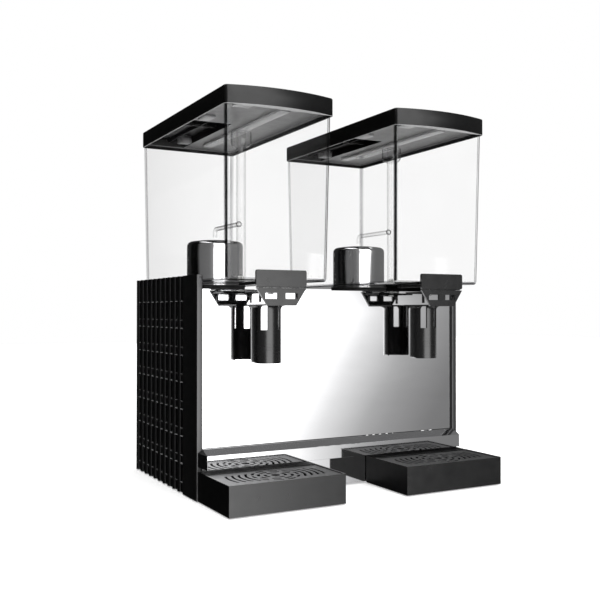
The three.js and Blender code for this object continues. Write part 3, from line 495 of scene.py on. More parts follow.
def build_lid(side):
    """A moulded cover with a rolled top edge, a bulging front and a rest for the tank's rim."""
    low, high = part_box(f"lid_{side}")
    x = (low.x, high.x)
    y = (low.y + LID_BULGE, high.y)
    ceiling = low.z + LID_CEILING
    inside = [
        (LID_STEP + 2.5 * MM, ceiling),
        (LID_STEP, ceiling - 2.5 * MM),
        (LID_STEP, low.z + LID_REST),
        (LID_WALL, low.z + LID_REST),
        (LID_WALL, low.z + 0.3 * MM),
        (LID_WALL - 0.3 * MM, low.z),
    ]
    outside = [(0.5 * MM, low.z), (0, low.z + 0.5 * MM)]
    roll = [(LID_ROLL - a, high.z - LID_ROLL + b) for a, b in arc((0, 0), LID_ROLL, 0, 90, 6)]
    crown = [(LID_CROWN, high.z)]
    loops = [
        rounded_loop(inset(x, margin), inset(y, margin), z, LID_RADIUS - min(margin, 2 * MM))
        for margin, z in inside
    ]
    loops += [
        rounded_loop(inset(x, margin), inset(y, margin), z, LID_RADIUS - min(margin, 3 * MM), LID_BULGE)
        for margin, z in outside + roll + crown
    ]
    # The inside rows: painted reflection on the ceiling's chamfer, painted shade on the step and its rest,
    # and the lighter painted reflection round the bottom edge.
    inside_rows = [LID_LIT_INSIDE_FACE] + [LID_SHADED_FACE] * 3 + [LID_LIT_RIB_FACE] * 3

    def face_painted_tone(row, column):
        return inside_rows[row] if row < len(inside_rows) else LID_COVER_FACE

    cover = loft(f"lid_{side}_cover", loops, face_painted_tone)
    # The large ceiling face also carries the painted reflection.
    for face in cover.data.polygons:
        if abs(face.center.z - ceiling) < 0.1 * MM and face.area > CEILING_AREA:
            face.material_index = LID_LIT_INSIDE_FACE
    middle = (x[0] + x[1]) / 2
    finishes_with_painted_shading = (LID_BLACK, LID_INSIDE_PAINTED_LIGHT, LID_RIB_PAINTED_LIGHT, LID_PAINTED_SHADE)
    across, along = (
        [origin + value * MM for value in LID_POCKET_SPAN[key]]
        for origin, key in ((middle, "across"), (0, "along"))
    )
    pocket = block("pocket", across, along, (low.z - MM, ceiling + LID_POCKET_SPAN["rise"] * MM))
    # The pocket is lined with the painted shade.
    for face in pocket.data.polygons:
        face.material_index = LID_SHADED_FACE
    cut(paint(cover, *finishes_with_painted_shading), paint(pocket, *finishes_with_painted_shading))
    cover = merged(f"lid_{side}_cover", [cover, *build_lid_stiffeners(middle, ceiling)])
    # Painted shade on the cover's faces that look to the left or right.
    for face in cover.data.polygons:
        if face.material_index == LID_COVER_FACE and abs(face.normal.x) > SIDEWAYS:
            face.material_index = LID_SHADED_FACE
    smooth(cover, 40)
    return finish_piece(cover, f"lid_unit_{side}", "black_plastic", f"lid_{side}", *finishes_with_painted_shading)


def build_lid_stiffeners(middle, ceiling):
    """The ribs and pads under a lid and the fins in its pocket, each sunk a little into its root."""
    pieces = []
    for across, along, heights, painted_face in LID_STIFFENERS:
        span_x = [middle + value * MM for value in across]
        span_y = [value * MM for value in along]
        piece = block("rib", span_x, span_y, [ceiling + value * MM for value in heights])
        soften(piece, 0.5 * MM, 2)
        # Each piece takes its face number from the table: painted reflection on the ribs and the pad,
        # painted shade on the fins.
        for face in piece.data.polygons:
            face.material_index = painted_face
        pieces.append(piece)
    return pieces


# ---------------------------------------------------------------- tanks

TANK_WALL = 2.6 * MM
TANK_FLOOR = 3 * MM
TANK_FLOOR_Z = 336.7 * MM
TANK_RADIUS = 6 * MM
TANK_TAPER = {"side": 3.6 * MM, "front": 6.2 * MM, "rear": 4.9 * MM}
TANK_ROLL = 5 * MM
OUTLET_Y = -144 * MM
OUTLET_RADIUS = 8 * MM
OUTLET_BORE = 5.5 * MM
OUTLET_BOTTOM = 321 * MM
TAB_SLOT = {"half": 2.4 * MM, "depth": 9 * MM, "top": 334.4 * MM}
LEG_X = (-78 * MM, 78 * MM)
LEG_Y = (-68 * MM, 12 * MM, 118 * MM, 190 * MM)
DOME_FLANGE = 6 * MM
DOME_CLEARANCE = 1.2 * MM
# Material numbers on a tank: the clear wall, then the painted shade of its edges and of its corners.
TANK_WALL_FACE, TANK_EDGE_SHADED_FACE, TANK_CORNER_SHADED_FACE = range(3)


def tank_loop(side, z, margin):
    """The tank's plan at one height, inset by a margin; it grows evenly from floor to rim."""
    low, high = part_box(f"tank_{side}")
    drop = 1 - (z - TANK_FLOOR_Z) / (high.z - TANK_FLOOR_Z)
    x = inset((low.x, high.x), margin + TANK_TAPER["side"] * drop)
    front = low.y + margin + TANK_TAPER["front"] * drop
    rear = high.y - margin - TANK_TAPER["rear"] * drop
    return rounded_loop(x, (front, rear), z, TANK_RADIUS - min(margin, 3 * MM))


def build_tank(side):
    low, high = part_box(f"tank_{side}")
    dome_low, dome_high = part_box(f"evaporator_dome_{side}")
    centre_x = (low.x + high.x) / 2
    outer_roll = arc((TANK_ROLL, TANK_FLOOR_Z + TANK_ROLL), TANK_ROLL, 270, 180, 6)
    inner = TANK_ROLL - TANK_WALL
    inner_roll = arc((TANK_ROLL, TANK_FLOOR_Z + TANK_FLOOR + inner), inner, 180, 270, 6)
    rim = [(0, high.z - 0.6 * MM), (0.6 * MM, high.z), (TANK_WALL - 0.4 * MM, high.z)]
    rows = outer_roll + rim + [(TANK_WALL, high.z - 0.4 * MM)] + inner_roll
    loops = [tank_loop(side, z, margin) for margin, z in rows]
    roll_rows = len(outer_roll) - 1
    first_corner = FRONT_STEPS - 1

    # Painted shade on the rolled floor, the rim and the corners, darkest on the lower half of the roll and
    # in the middle of the front corners.
    def edge_painted_shade(row, column):
        if row < roll_rows or row >= len(rows) - roll_rows:
            return TANK_EDGE_SHADED_FACE if row < roll_rows // 2 + 1 else TANK_CORNER_SHADED_FACE
        corner, step = divmod(column - first_corner, CORNER_STEPS + 1)
        if column < first_corner or step == CORNER_STEPS:
            on_rim = roll_rows < row <= roll_rows + len(rim)
            return TANK_CORNER_SHADED_FACE if on_rim else TANK_WALL_FACE
        front_corner = corner in (0, 3)
        return TANK_EDGE_SHADED_FACE if front_corner and 2 <= step <= 5 else TANK_CORNER_SHADED_FACE

    tank = loft(f"tank_{side}_shell", loops, edge_painted_shade)
    paint(tank, CLEAR, CLEAR_EDGE_PAINTED_SHADE, CLEAR_CORNER_PAINTED_SHADE)
    hole_radius = (dome_high.x - dome_low.x) / 2 - DOME_FLANGE + DOME_CLEARANCE
    dome_y = (dome_low.y + dome_high.y) / 2
    span = (TANK_FLOOR_Z - 2 * MM, TANK_FLOOR_Z + TANK_FLOOR + 2 * MM)
    hole = rod("hole", "Z", (centre_x, dome_y), hole_radius, *span, 64)
    outlet_z = (OUTLET_BOTTOM, TANK_FLOOR_Z + MM)
    outlet = rod("outlet", "Z", (centre_x, OUTLET_Y), OUTLET_RADIUS, *outlet_z, 40)
    legs = []
    for dx in LEG_X:
        for leg_y in LEG_Y:
            x = (centre_x + dx - 2 * MM, centre_x + dx + 2 * MM)
            legs.append(block("leg", x, (leg_y - 3 * MM, leg_y + 3 * MM), (low.z, TANK_FLOOR_Z + 0.5 * MM)))
    join(tank, outlet, merged("legs", legs))
    below = OUTLET_BOTTOM - MM
    bore = rod("bore", "Z", (centre_x, OUTLET_Y), OUTLET_BORE, below, span[1], 40)
    slot_x = (centre_x - TAB_SLOT["half"], centre_x + TAB_SLOT["half"])
    slot = block("slot", slot_x, (OUTLET_Y, OUTLET_Y + TAB_SLOT["depth"]), (below, TAB_SLOT["top"]))
    cut(tank, hole, bore, slot)
    smooth(tank, 40)
    finishes_with_painted_shading = (CLEAR, CLEAR_EDGE_PAINTED_SHADE, CLEAR_CORNER_PAINTED_SHADE)
    return finish_piece(tank, f"tank_unit_{side}", "clear_plastic", f"tank_{side}", *finishes_with_painted_shading)


def build_dome(side):
    """A spun steel dome: straight sides, a round shoulder and a slightly crowned top."""
    low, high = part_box(f"evaporator_dome_{side}")
    centre = ((low.x + high.x) / 2, (low.y + high.y) / 2)
    radius = (high.x - low.x) / 2 - DOME_FLANGE
    wall = 1.2 * MM
    shoulder = 8.5 * MM
    crown = 3 * MM
    corner = (radius - shoulder, high.z - crown - shoulder)
    outside = arc(corner, shoulder, 0, 82, 10)
    inside = arc(corner, shoulder - wall, 82, 0, 8)
    edge = outside[-1]
    cap = [(edge[0] * (1 - t), edge[1] + (high.z - edge[1]) * (1 - (1 - t) ** 2)) for t in (0.3, 0.6, 0.85)]
    flange = [
        (radius, low.z + wall + 1.5 * MM),
        (radius + 1.5 * MM, low.z + wall),
        (high.x - centre[0], low.z + wall),
        (high.x - centre[0], low.z),
        (radius - wall, low.z),
    ]
    profile = [(0, high.z - wall)] + inside + flange[::-1] + outside + cap + [(0, high.z)]
    dome = turned(f"dome_{side}_shell", profile, centre)
    smooth(dome, 50)
    return finish_piece(dome, "casing", "polished_steel", f"evaporator_dome_{side}", DOME_STEEL)


def build_collar(side):
    """The soft seal between the tank's floor and the deck."""
    low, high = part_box(f"dome_collar_{side}")
    centre = ((low.x + high.x) / 2, (low.y + high.y) / 2)
    outer = (high.x - low.x) / 2
    inner = outer - 4.1 * MM
    waist = 0.9 * MM
    lip = 2.2 * MM
    profile = [
        (inner, low.z),
        (outer, low.z),
        (outer, low.z + lip),
        (outer - waist, low.z + lip + 0.8 * MM),
        (outer - waist, high.z - lip - 0.8 * MM),
        (outer, high.z - lip),
        (outer, high.z),
        (inner, high.z),
        (inner, low.z),
    ]
    collar = turned(f"collar_{side}_seal", profile, centre)
    smooth(collar, 30)
    return finish_piece(collar, "casing", "rubber", f"dome_collar_{side}", RUBBER)


def build_riser(side):
    low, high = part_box(f"riser_tube_{side}")
    centre = ((low.x + high.x) / 2, (low.y + high.y) / 2)
    outer = (high.x - low.x) / 2
    bore = outer - 1.5 * MM
    ring = [
        (bore, low.z),
        (outer, low.z),
        (outer, high.z - 0.4 * MM),
        (outer - 0.4 * MM, high.z),
        (bore, high.z),
        (bore, low.z),
    ]
    riser = turned(f"riser_{side}_tube", ring, centre, 64)
    x = (centre[0] - 2.5 * MM, centre[0] + 2.5 * MM)
    inlet = block("inlet", x, (low.y - MM, centre[1]), (low.z - MM, low.z + 10 * MM))
    elbow_low, elbow_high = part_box(f"spray_elbow_{side}")
    elbow_z = elbow_high.z - (elbow_high.x - elbow_low.x) / 2
    port = rod("port", "Y", (centre[0], elbow_z), 2.6 * MM, centre[1], high.y + MM)
    cut(riser, inlet, port)
    smooth(riser, 40)
    return finish_piece(riser, f"tank_unit_{side}", "clear_plastic", f"riser_tube_{side}", CLEAR_TUBE)


def build_elbow(side):
    """A bent clear tube that sprays drink over the dome, with a collar where it meets the riser."""
    low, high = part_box(f"spray_elbow_{side}")
    radius = (high.x - low.x) / 2
    x = (low.x + high.x) / 2
    z = high.z - radius
    drop_y = high.y - radius
    bend = 7 * MM
    corner = [(x, y, height) for y, height in arc((drop_y - bend, z - bend), bend, 90, 0, 10)]
    path = [(x, low.y, z)] + corner + [(x, drop_y, low.z)]
    elbow = tube(f"elbow_{side}_tube", path, radius, 2.6 * MM, 32)
    smooth(elbow, 40)
    collar_path = [(x, low.y + step * MM, z) for step in (0, 0.3, 1.2, 1.5)]
    collar = tube(f"elbow_{side}_collar", collar_path, radius + 1.1 * MM, radius + 0.1 * MM, 32)
    smooth(collar, 40)
    # The collar carries the dark painted shade as a ring.
    finish_piece(collar, f"tank_unit_{side}", "clear_plastic", None, CLEAR_EDGE_PAINTED_SHADE)
    return finish_piece(
        elbow, f"tank_unit_{side}", "clear_plastic", f"spray_elbow_{side}", CLEAR_TUBE
    )


def build_spreader(side):
    """A shallow clear trough on top of the riser, with a thick round rim round the tube's mouth."""
    low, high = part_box(f"spreader_{side}")
    riser_low, riser_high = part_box(f"riser_tube_{side}")
    centre = ((riser_low.x + riser_high.x) / 2, (riser_low.y + riser_high.y) / 2)
    wall = 1.5 * MM
    trough = block(f"spreader_{side}_trough", (low.x, high.x), (low.y, high.y), (low.z, high.z))
    hollow = block(
        "hollow",
        inset((low.x, high.x), wall),
        (low.y + wall, high.y + MM),
        (low.z + wall, high.z + MM),
    )
    mouth = rod("mouth", "Z", centre, 6.25 * MM, low.z - MM, high.z + MM, 48)
    cut(trough, hollow, mouth)
    soften(trough, 0.6 * MM)
    round_radius = 8 * MM
    cup_outer, cup_inner = 17 * MM, 8.5 * MM
    cup_top, cup_bottom = low.z - 0.5 * MM, low.z - 25 * MM
    skin = 1.2 * MM
    corner = (cup_outer - round_radius, cup_bottom + round_radius)
    profile = [(cup_inner, cup_bottom)] + arc(corner, round_radius, 270, 360, 8)
    profile += [(cup_outer, cup_top), (cup_outer - skin, cup_top)]
    profile += arc(corner, round_radius - skin, 360, 270, 8)
    profile += [(cup_inner, cup_bottom + skin), (cup_inner, cup_bottom)]
    cup = smooth(turned(f"spreader_{side}_cup", profile, centre, 48), 50)
    finish_piece(cup, f"tank_unit_{side}", "clear_plastic", None, CLEAR_TUBE)
    return finish_piece(
        trough, f"tank_unit_{side}", "clear_plastic", f"spreader_{side}", CLEAR_TUBE
    )


# ---------------------------------------------------------------- casing

RIB_COUNT = 11
RIB_WIDTH = 9 * MM
RIB_HEIGHT = 4 * MM
PLAIN_BAND = 50 * MM
SKIN = 2.5 * MM
WINDOW_ROWS = 7
WINDOW_PITCH = 43.2 * MM
WINDOW_HEIGHT = 28.2 * MM
WINDOW_TOP = 306.5 * MM
LIP_RISE = {"top": 1.5 * MM, "bottom": 0.9 * MM}
TRIM_BEND = 1.4 * MM
TRIM_SHEET = 1.2 * MM
TRIM_JOINT = (336 * MM, 337.6 * MM)


def build_side_panel(side):
    """A ribbed side panel with rows of windows between its half-round ribs."""
    low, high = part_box(f"side_panel_{side}")
    sign = SIGN[side]
    outer = max(abs(low.x), abs(high.x))
    channel = outer - RIB_HEIGHT
    start = low.y + PLAIN_BAND
    pitch = (high.y - start - RIB_WIDTH) / (RIB_COUNT - 1)
    steps = 12
    outline = [(outer - 0.5 * MM, low.y), (outer, low.y + 0.5 * MM)]
    for rib in range(RIB_COUNT):
        centre = start + RIB_WIDTH / 2 + rib * pitch
        first = steps // 2 if rib == 0 else 0
        for step in range(first, steps + 1):
            angle = math.pi * step / steps
            across = RIB_HEIGHT * math.sin(angle)
            outline.append((channel + across, centre - RIB_WIDTH / 2 * math.cos(angle)))
    outline += [(channel - SKIN, high.y), (channel - SKIN, low.y)]
    panel = prism(f"side_{side}_ribbed", [(sign * x, y) for x, y in outline], "Z", low.z, high.z)
    x = sorted((sign * (outer + MM), sign * (channel - SKIN - MM)))
    windows, lips = [], []
    for row in range(WINDOW_ROWS):
        top = WINDOW_TOP - row * WINDOW_PITCH
        for column in range(RIB_COUNT - 1):
            edge = start + RIB_WIDTH + column * pitch + 0.5 * MM
            y = (edge, edge + pitch - RIB_WIDTH - MM)
            windows.append(block("window", x, y, (top - WINDOW_HEIGHT, top)))
            sills = (
                (top + 0.3 * MM, LIP_RISE["top"]),
                (top - WINDOW_HEIGHT - 1.5 * MM, LIP_RISE["bottom"]),
            )
            for sill, rise in sills:
                corners = ((-0.4 * MM, 0), (1.1 * rise, 0), (1.1 * rise, 0.2 * MM), (-0.4 * MM, rise))
                lip = [(sign * (channel + across), sill + up) for across, up in corners]
                lips.append(prism("lip", lip, "Y", *widen(y, 0.4 * MM)))
    cut(panel, merged("windows", windows))
    smooth(panel, 30)
    # The lips carry the painted highlight along the window edges.
    hood = smooth(merged(f"side_{side}_window_lips", lips), 30)
    finish_piece(hood, "casing", "black_plastic", None, LIP_PAINTED_HIGHLIGHT)
    return finish_piece(panel, "casing", "black_plastic", f"side_panel_{side}", PANEL_BLACK)


def build_trim(side):
    """A folded steel corner strip with a joint near its top."""
    low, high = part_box(f"side_trim_{side}")
    bend, sheet = TRIM_BEND, TRIM_SHEET
    inner_bend = bend - sheet
    x0, x1, y0, y1 = low.x, high.x, low.y, high.y
    outline = [(x1, y1), (x1 - sheet, y1)]
    outline += arc((x1 - bend, y0 + bend), inner_bend, 0, -90, 4)
    outline += arc((x0 + bend, y0 + bend), inner_bend, -90, -180, 4)
    outline += [(x0 + sheet, y1), (x0, y1)]
    outline += arc((x0 + bend, y0 + bend), bend, 180, 270, 6)
    outline += arc((x1 - bend, y0 + bend), bend, 270, 360, 6)
    strip = prism(f"trim_{side}_strip", outline, "Z", low.z, high.z)
    groove = block("groove", (x0 - MM, x1 + MM), (y0 - MM, y0 + 0.5 * MM), TRIM_JOINT)
    cut(strip, groove)
    smooth(strip, 35)
    return finish_piece(strip, "casing", "satin_steel", f"side_trim_{side}", TRIM)


# ---------------------------------------------------------------- taps

CAP_THICK = 4 * MM
PLATE_THICK = 3.5 * MM
SKIRT = {"top": 326.2 * MM, "bottom": 301 * MM, "top_half": 41.8 * MM, "bottom_half": 24.4 * MM}
PIVOT = (-172 * MM, 323.5 * MM)
PIN_HOLE = 2.3 * MM
LEVER_AXIS_Y = -127 * MM
LEVER_RADIUS = 23.5 * MM
LEVER_BORE = 20.7 * MM
LEVER_FLARE = 6.2 * MM
LEVER_CORNER = 4.5 * MM
BASKET_REAR_Y = -107 * MM
CAP_BOTTOM = 328 * MM
CAP_CORNER = 3.2 * MM
SHELF_Z = (331.5 * MM, 336.3 * MM)
SHELF_REAR_Y = -153 * MM
EAR_REAR_Y = PIVOT[0] + 3.5 * MM
EAR_BOTTOM = 319.5 * MM
SKIRT_WINDOW_Z = (310 * MM, 318.6 * MM)
LIFT_BAR_Y = (OUTLET_Y + 10.5 * MM, OUTLET_Y + 14.5 * MM)
LIFT_BAR_Z = (320.5 * MM, 323.4 * MM)
SLOT_BOTTOM = 263 * MM
GRIP_HEIGHTS = (232 * MM, 236 * MM, 240 * MM)
# Spans to each side of a tap's middle, in millimetres.
SPAN = {
    "window": (6.6, 27.1),
    "slot": (7.2, 16.3),
    "lug": (24.5, 28.5),
    "arm": (27, 34),
    "ear": (29, 32),
    "rail": (34.6, 37),
}


def about(middle, sign, inner, outer):
    """A span to one side of a middle, in millimetres from it."""
    return sorted((middle + sign * inner * MM, middle + sign * outer * MM))


def build_bracket(side):
    """The cap plate in front of the tank's outlet, with the shelf, arms and ears behind it."""
    low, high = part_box(f"valve_bracket_{side}")
    middle = (low.x + high.x) / 2
    half = (high.x - low.x) / 2
    radius = CAP_CORNER
    outline = []
    for x, z, start in (
        (middle + half - radius, high.z - radius, 0),
        (middle - half + radius, high.z - radius, 90),
        (middle - half + radius, CAP_BOTTOM + radius, 180),
        (middle + half - radius, CAP_BOTTOM + radius, 270),
    ):
        outline += arc((x, z), radius, start, start + 90, 8)
    rear = low.y + CAP_THICK
    bracket = prism(f"bracket_{side}_cap", outline, "Y", low.y, rear)
    parts = [block("shelf", (middle - 34 * MM, middle + 34 * MM), (rear - MM, SHELF_REAR_Y), SHELF_Z)]
    lip_y = (rear - 0.5 * MM, rear + 2 * MM)
    parts.append(block("lip", (middle - 40 * MM, middle + 40 * MM), lip_y, (326.5 * MM, 329 * MM)))
    for sign in (-1, 1):
        arm_y = (SHELF_REAR_Y - MM, high.y)
        parts.append(block("arm", about(middle, sign, *SPAN["arm"]), arm_y, SHELF_Z))
        ear_x = about(middle, sign, *SPAN["ear"])
        parts.append(block("ear", ear_x, (rear + 0.2 * MM, EAR_REAR_Y), (EAR_BOTTOM, SHELF_Z[0] + MM)))
        parts.append(block("stop", ear_x, (PIVOT[0], EAR_REAR_Y), (low.z, EAR_BOTTOM + MM)))
    join(bracket, *parts)
    cut(bracket, rod("pin_hole", "X", PIVOT, PIN_HOLE, middle - 34 * MM, middle + 34 * MM))
    soften(bracket, 0.7 * MM)
    # Painted shade on the faces that look to the rear.
    paint_rear_shade(bracket, 1)
    finishes_with_painted_shading = (TAP_BLACK, BLACK_PAINTED_SHADE)
    return finish_piece(bracket, f"tank_unit_{side}", "black_plastic", f"valve_bracket_{side}", *finishes_with_painted_shading)


def paint_rear_shade(obj, index):
    """Gives the faces that look to the rear the material at index, a painted shade."""
    for face in obj.data.polygons:
        if face.normal.y > REARWARD:
            face.material_index = index


def build_lever(side):
    """A windowed skirt with a slotted half tube under it, all in one moulding."""
    low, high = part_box(f"push_lever_{side}")
    middle = (low.x + high.x) / 2
    front = low.y
    rear = front + PLATE_THICK
    skirt_outline = [
        (middle - SKIRT["bottom_half"], SKIRT["bottom"] - 1.2 * MM),
        (middle + SKIRT["bottom_half"], SKIRT["bottom"] - 1.2 * MM),
        (middle + SKIRT["top_half"], SKIRT["top"]),
        (middle - SKIRT["top_half"], SKIRT["top"]),
    ]
    lever = prism(f"lever_{side}_moulding", skirt_outline, "Y", front, rear)
    windows = [
        block("window", about(middle, sign, *SPAN["window"]), (front - MM, rear + MM), SKIRT_WINDOW_Z)
        for sign in (-1, 1)
    ]
    cut(lever, *windows)

    floor_z = (SKIRT["bottom"] - 1.2 * MM, SKIRT["bottom"] + 1.3 * MM)
    floor_x = (middle - SKIRT["bottom_half"], middle + SKIRT["bottom_half"])
    floor = block("floor", floor_x, (front + 0.5 * MM, BASKET_REAR_Y), floor_z)
    flare = [
        (LEVER_RADIUS + LEVER_FLARE - a, floor_z[0] - LEVER_FLARE + b)
        for a, b in arc((0, 0), LEVER_FLARE, 0, 90, 8)
    ]
    profile = [(LEVER_BORE, low.z), (LEVER_RADIUS, low.z)] + flare
    profile += [(LEVER_RADIUS + LEVER_FLARE, floor_z[0] + 0.5 * MM), (LEVER_BORE, floor_z[0] + 0.5 * MM)]
    half_tube = turned("half_tube", profile + profile[:1], (middle, LEVER_AXIS_Y), 96)
    x = (middle - SKIRT["bottom_half"], middle + SKIRT["bottom_half"])
    silhouette = [(x[1], floor_z[1]), (x[0], floor_z[1])]
    corner_reach = LEVER_RADIUS - LEVER_CORNER
    for corner_x, start in ((middle - corner_reach, 180), (middle + corner_reach, 270)):
        silhouette += arc((corner_x, low.z + LEVER_CORNER), LEVER_CORNER, start, start + 90, 8)
    silhouette.insert(2, (x[0], low.z + 2 * LEVER_CORNER))
    silhouette.append((x[1], low.z + 2 * LEVER_CORNER))
    keep(half_tube, prism("front_half", silhouette, "Y", LEVER_AXIS_Y - 40 * MM, LEVER_AXIS_Y + 5 * MM))

    bar_x = (middle - SPAN["rail"][1] * MM, middle + SPAN["rail"][1] * MM)
    parts = [floor, half_tube, block("lift_bar", bar_x, LIFT_BAR_Y, LIFT_BAR_Z)]
    for sign in (-1, 1):
        rail_x = about(middle, sign, *SPAN["rail"])
        parts.append(block("rail", rail_x, (rear - 0.5 * MM, LIFT_BAR_Y[1]), LIFT_BAR_Z))
        lug_x = about(middle, sign, *SPAN["lug"])
        parts.append(block("lug", lug_x, (rear - 0.5 * MM, EAR_REAR_Y), (EAR_BOTTOM, SKIRT["top"])))
    join(lever, *parts)
    slot_y = (LEVER_AXIS_Y - 40 * MM, LEVER_AXIS_Y - 4 * MM)
    slots = [
        block("slot", about(middle, sign, *SPAN["slot"]), slot_y, (SLOT_BOTTOM, floor_z[0]))
        for sign in (-1, 1)
    ]
    drop = rod("drop", "Z", (middle, LEVER_AXIS_Y), LEVER_BORE, floor_z[0] - MM, floor_z[1] + MM, 96)
    pin_hole = rod("pin_hole", "X", PIVOT, PIN_HOLE, middle - 34 * MM, middle + 34 * MM)
    cut(lever, *slots, drop, pin_hole)
    soften(lever, 0.6 * MM)
    ridges = [build_grip_ridge(middle, height) for height in GRIP_HEIGHTS]
    grip = smooth(merged(f"lever_{side}_grip", ridges), 50)
    finish_piece(grip, f"lever_unit_{side}", "black_plastic", None, TAP_BLACK)
    # Painted shade on the faces that look to the rear.
    paint_rear_shade(lever, 1)
    finishes_with_painted_shading = (TAP_BLACK, BLACK_PAINTED_SHADE)
    return finish_piece(lever, f"lever_unit_{side}", "black_plastic", f"push_lever_{side}", *finishes_with_painted_shading)


def build_grip_ridge(middle, z):
    """A low bar across the front of the half tube, following its curve."""
    loops = []
    for angle in range(-118, -61, 4):
        direction = (math.cos(math.radians(angle)), math.sin(math.radians(angle)))
        section = [(-0.6, -0.7), (0.45, -0.45), (0.45, 0.45), (-0.6, 0.7)]
        loop = []
        for out, up in section:
            reach = LEVER_RADIUS + out * MM
            loop.append((middle + reach * direction[0], LEVER_AXIS_Y + reach * direction[1], z + up * MM))
        loops.append(loop)
    return loft("ridge", loops)


# ---------------------------------------------------------------- drip trays

TRAY_WALL = 2.5 * MM
TRAY_STEP = 2 * MM
TRAY_SHELF_STEP = 0.2 * MM


def build_tray(side):
    """A moulded tray with a basin under the grate and a closed shelf that docks under the ledge."""
    low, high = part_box(f"drip_tray_{side}")
    grate_low, grate_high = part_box(f"drip_grate_{side}")
    x, y = (low.x, high.x), (low.y, high.y)
    tray = block(f"tray_{side}_moulding", x, y, (low.z, high.z))
    rim_rear = grate_high.y + 0.5 * MM
    rest = grate_low.z - 0.3 * MM
    rim = block("rim", inset(x, TRAY_WALL), (low.y + TRAY_WALL, rim_rear), (rest, high.z + MM))
    deep = TRAY_WALL + TRAY_STEP
    basin = block(
        "basin",
        inset(x, deep),
        (low.y + deep, rim_rear - TRAY_STEP),
        (low.z + TRAY_WALL, rest + MM),
    )
    dock = block(
        "dock",
        inset(x, TRAY_WALL),
        (rim_rear + TRAY_WALL, high.y - TRAY_WALL),
        (low.z - MM, high.z - TRAY_WALL),
    )
    step_z = (high.z - TRAY_SHELF_STEP, high.z + MM)
    shelf = block("shelf", inset(x, -MM), (rim_rear + 0.4 * MM, high.y + MM), step_z)
    cut(tray, rim, basin, dock, shelf)
    soften(tray, 0.7 * MM)
    # Painted light on the rim faces that look up; painted shade on the shelf under the ledge and on the
    # faces that look to the sides.
    for face in tray.data.polygons:
        if face.normal.z > UPWARD and face.center.z > high.z - 0.8 * MM:
            face.material_index = 2 if face.center.y > rim_rear else 1
        elif abs(face.normal.x) > SIDEWAYS:
            face.material_index = 2
    finishes_with_painted_shading = (TRAY_BLACK, TRAY_TOP_PAINTED_LIGHT, BLACK_PAINTED_SHADE)
    return finish_piece(tray, f"tray_unit_{side}", "black_plastic", f"drip_tray_{side}", *finishes_with_painted_shading)


RINGS = (
    {"radii": (13, 18), "slots": 4, "start": 0, "spread": 69},
    {"radii": (23, 28), "slots": 8, "start": 22.5, "spread": 34},
    {"radii": (33, 37.5), "slots": 10, "start": 0, "spread": 26},
)
END_ARCS = (
    {"radii": (43, 47), "spread": 72},
    {"radii": (53, 57), "spread": 56},
    {"radii": (63, 67), "spread": 46},
    {"radii": (73, 77), "spread": 38},
)


def arc_slot(centre, radii, middle, spread_angle, z):
    """A cutter for a curved slot with round ends, spread_angle long overall."""
    inner, outer = (radius * MM for radius in radii)
    half = (outer - inner) / 2
    mean = (outer + inner) / 2
    reach = spread_angle / 2 - math.degrees(half / mean)
    first, last = middle - reach, middle + reach
    steps = max(6, round(spread_angle / 5))
    outline = arc(centre, outer, first, last, steps)
    end = arc(centre, mean, last, last, 1)[0]
    outline += arc(end, half, last, last + 180, 6)[1:-1]
    outline += arc(centre, inner, last, first, steps)
    begin = arc(centre, mean, first, first, 1)[0]
    outline += arc(begin, half, first + 180, first + 360, 6)[1:-1]
    return prism("slot", outline, "Z", *z)


def build_grate(side):
    """A steel grate with rings of curved slots round a centre hole."""
    low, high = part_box(f"drip_grate_{side}")
    centre = ((low.x + high.x) / 2, (low.y + high.y) / 2)
    z = (low.z - MM, high.z + MM)
    sheet = block(f"grate_{side}_sheet", (low.x, high.x), (low.y, high.y), (low.z, high.z))
    slots = [rod("hole", "Z", centre, 7 * MM, *z, 40)]
    for ring in RINGS:
        for i in range(ring["slots"]):
            middle = ring["start"] + 360 * i / ring["slots"]
            slots.append(arc_slot(centre, ring["radii"], middle, ring["spread"], z))
    for end in END_ARCS:
        for middle in (0, 180):
            slots.append(arc_slot(centre, end["radii"], middle, end["spread"], z))
    cut(sheet, merged("slots", slots))
    smooth(sheet, 30)
    return finish_piece(sheet, f"grate_unit_{side}", "satin_steel", f"drip_grate_{side}", GRATE)


# ---------------------------------------------------------------- carried-over CAD nodes


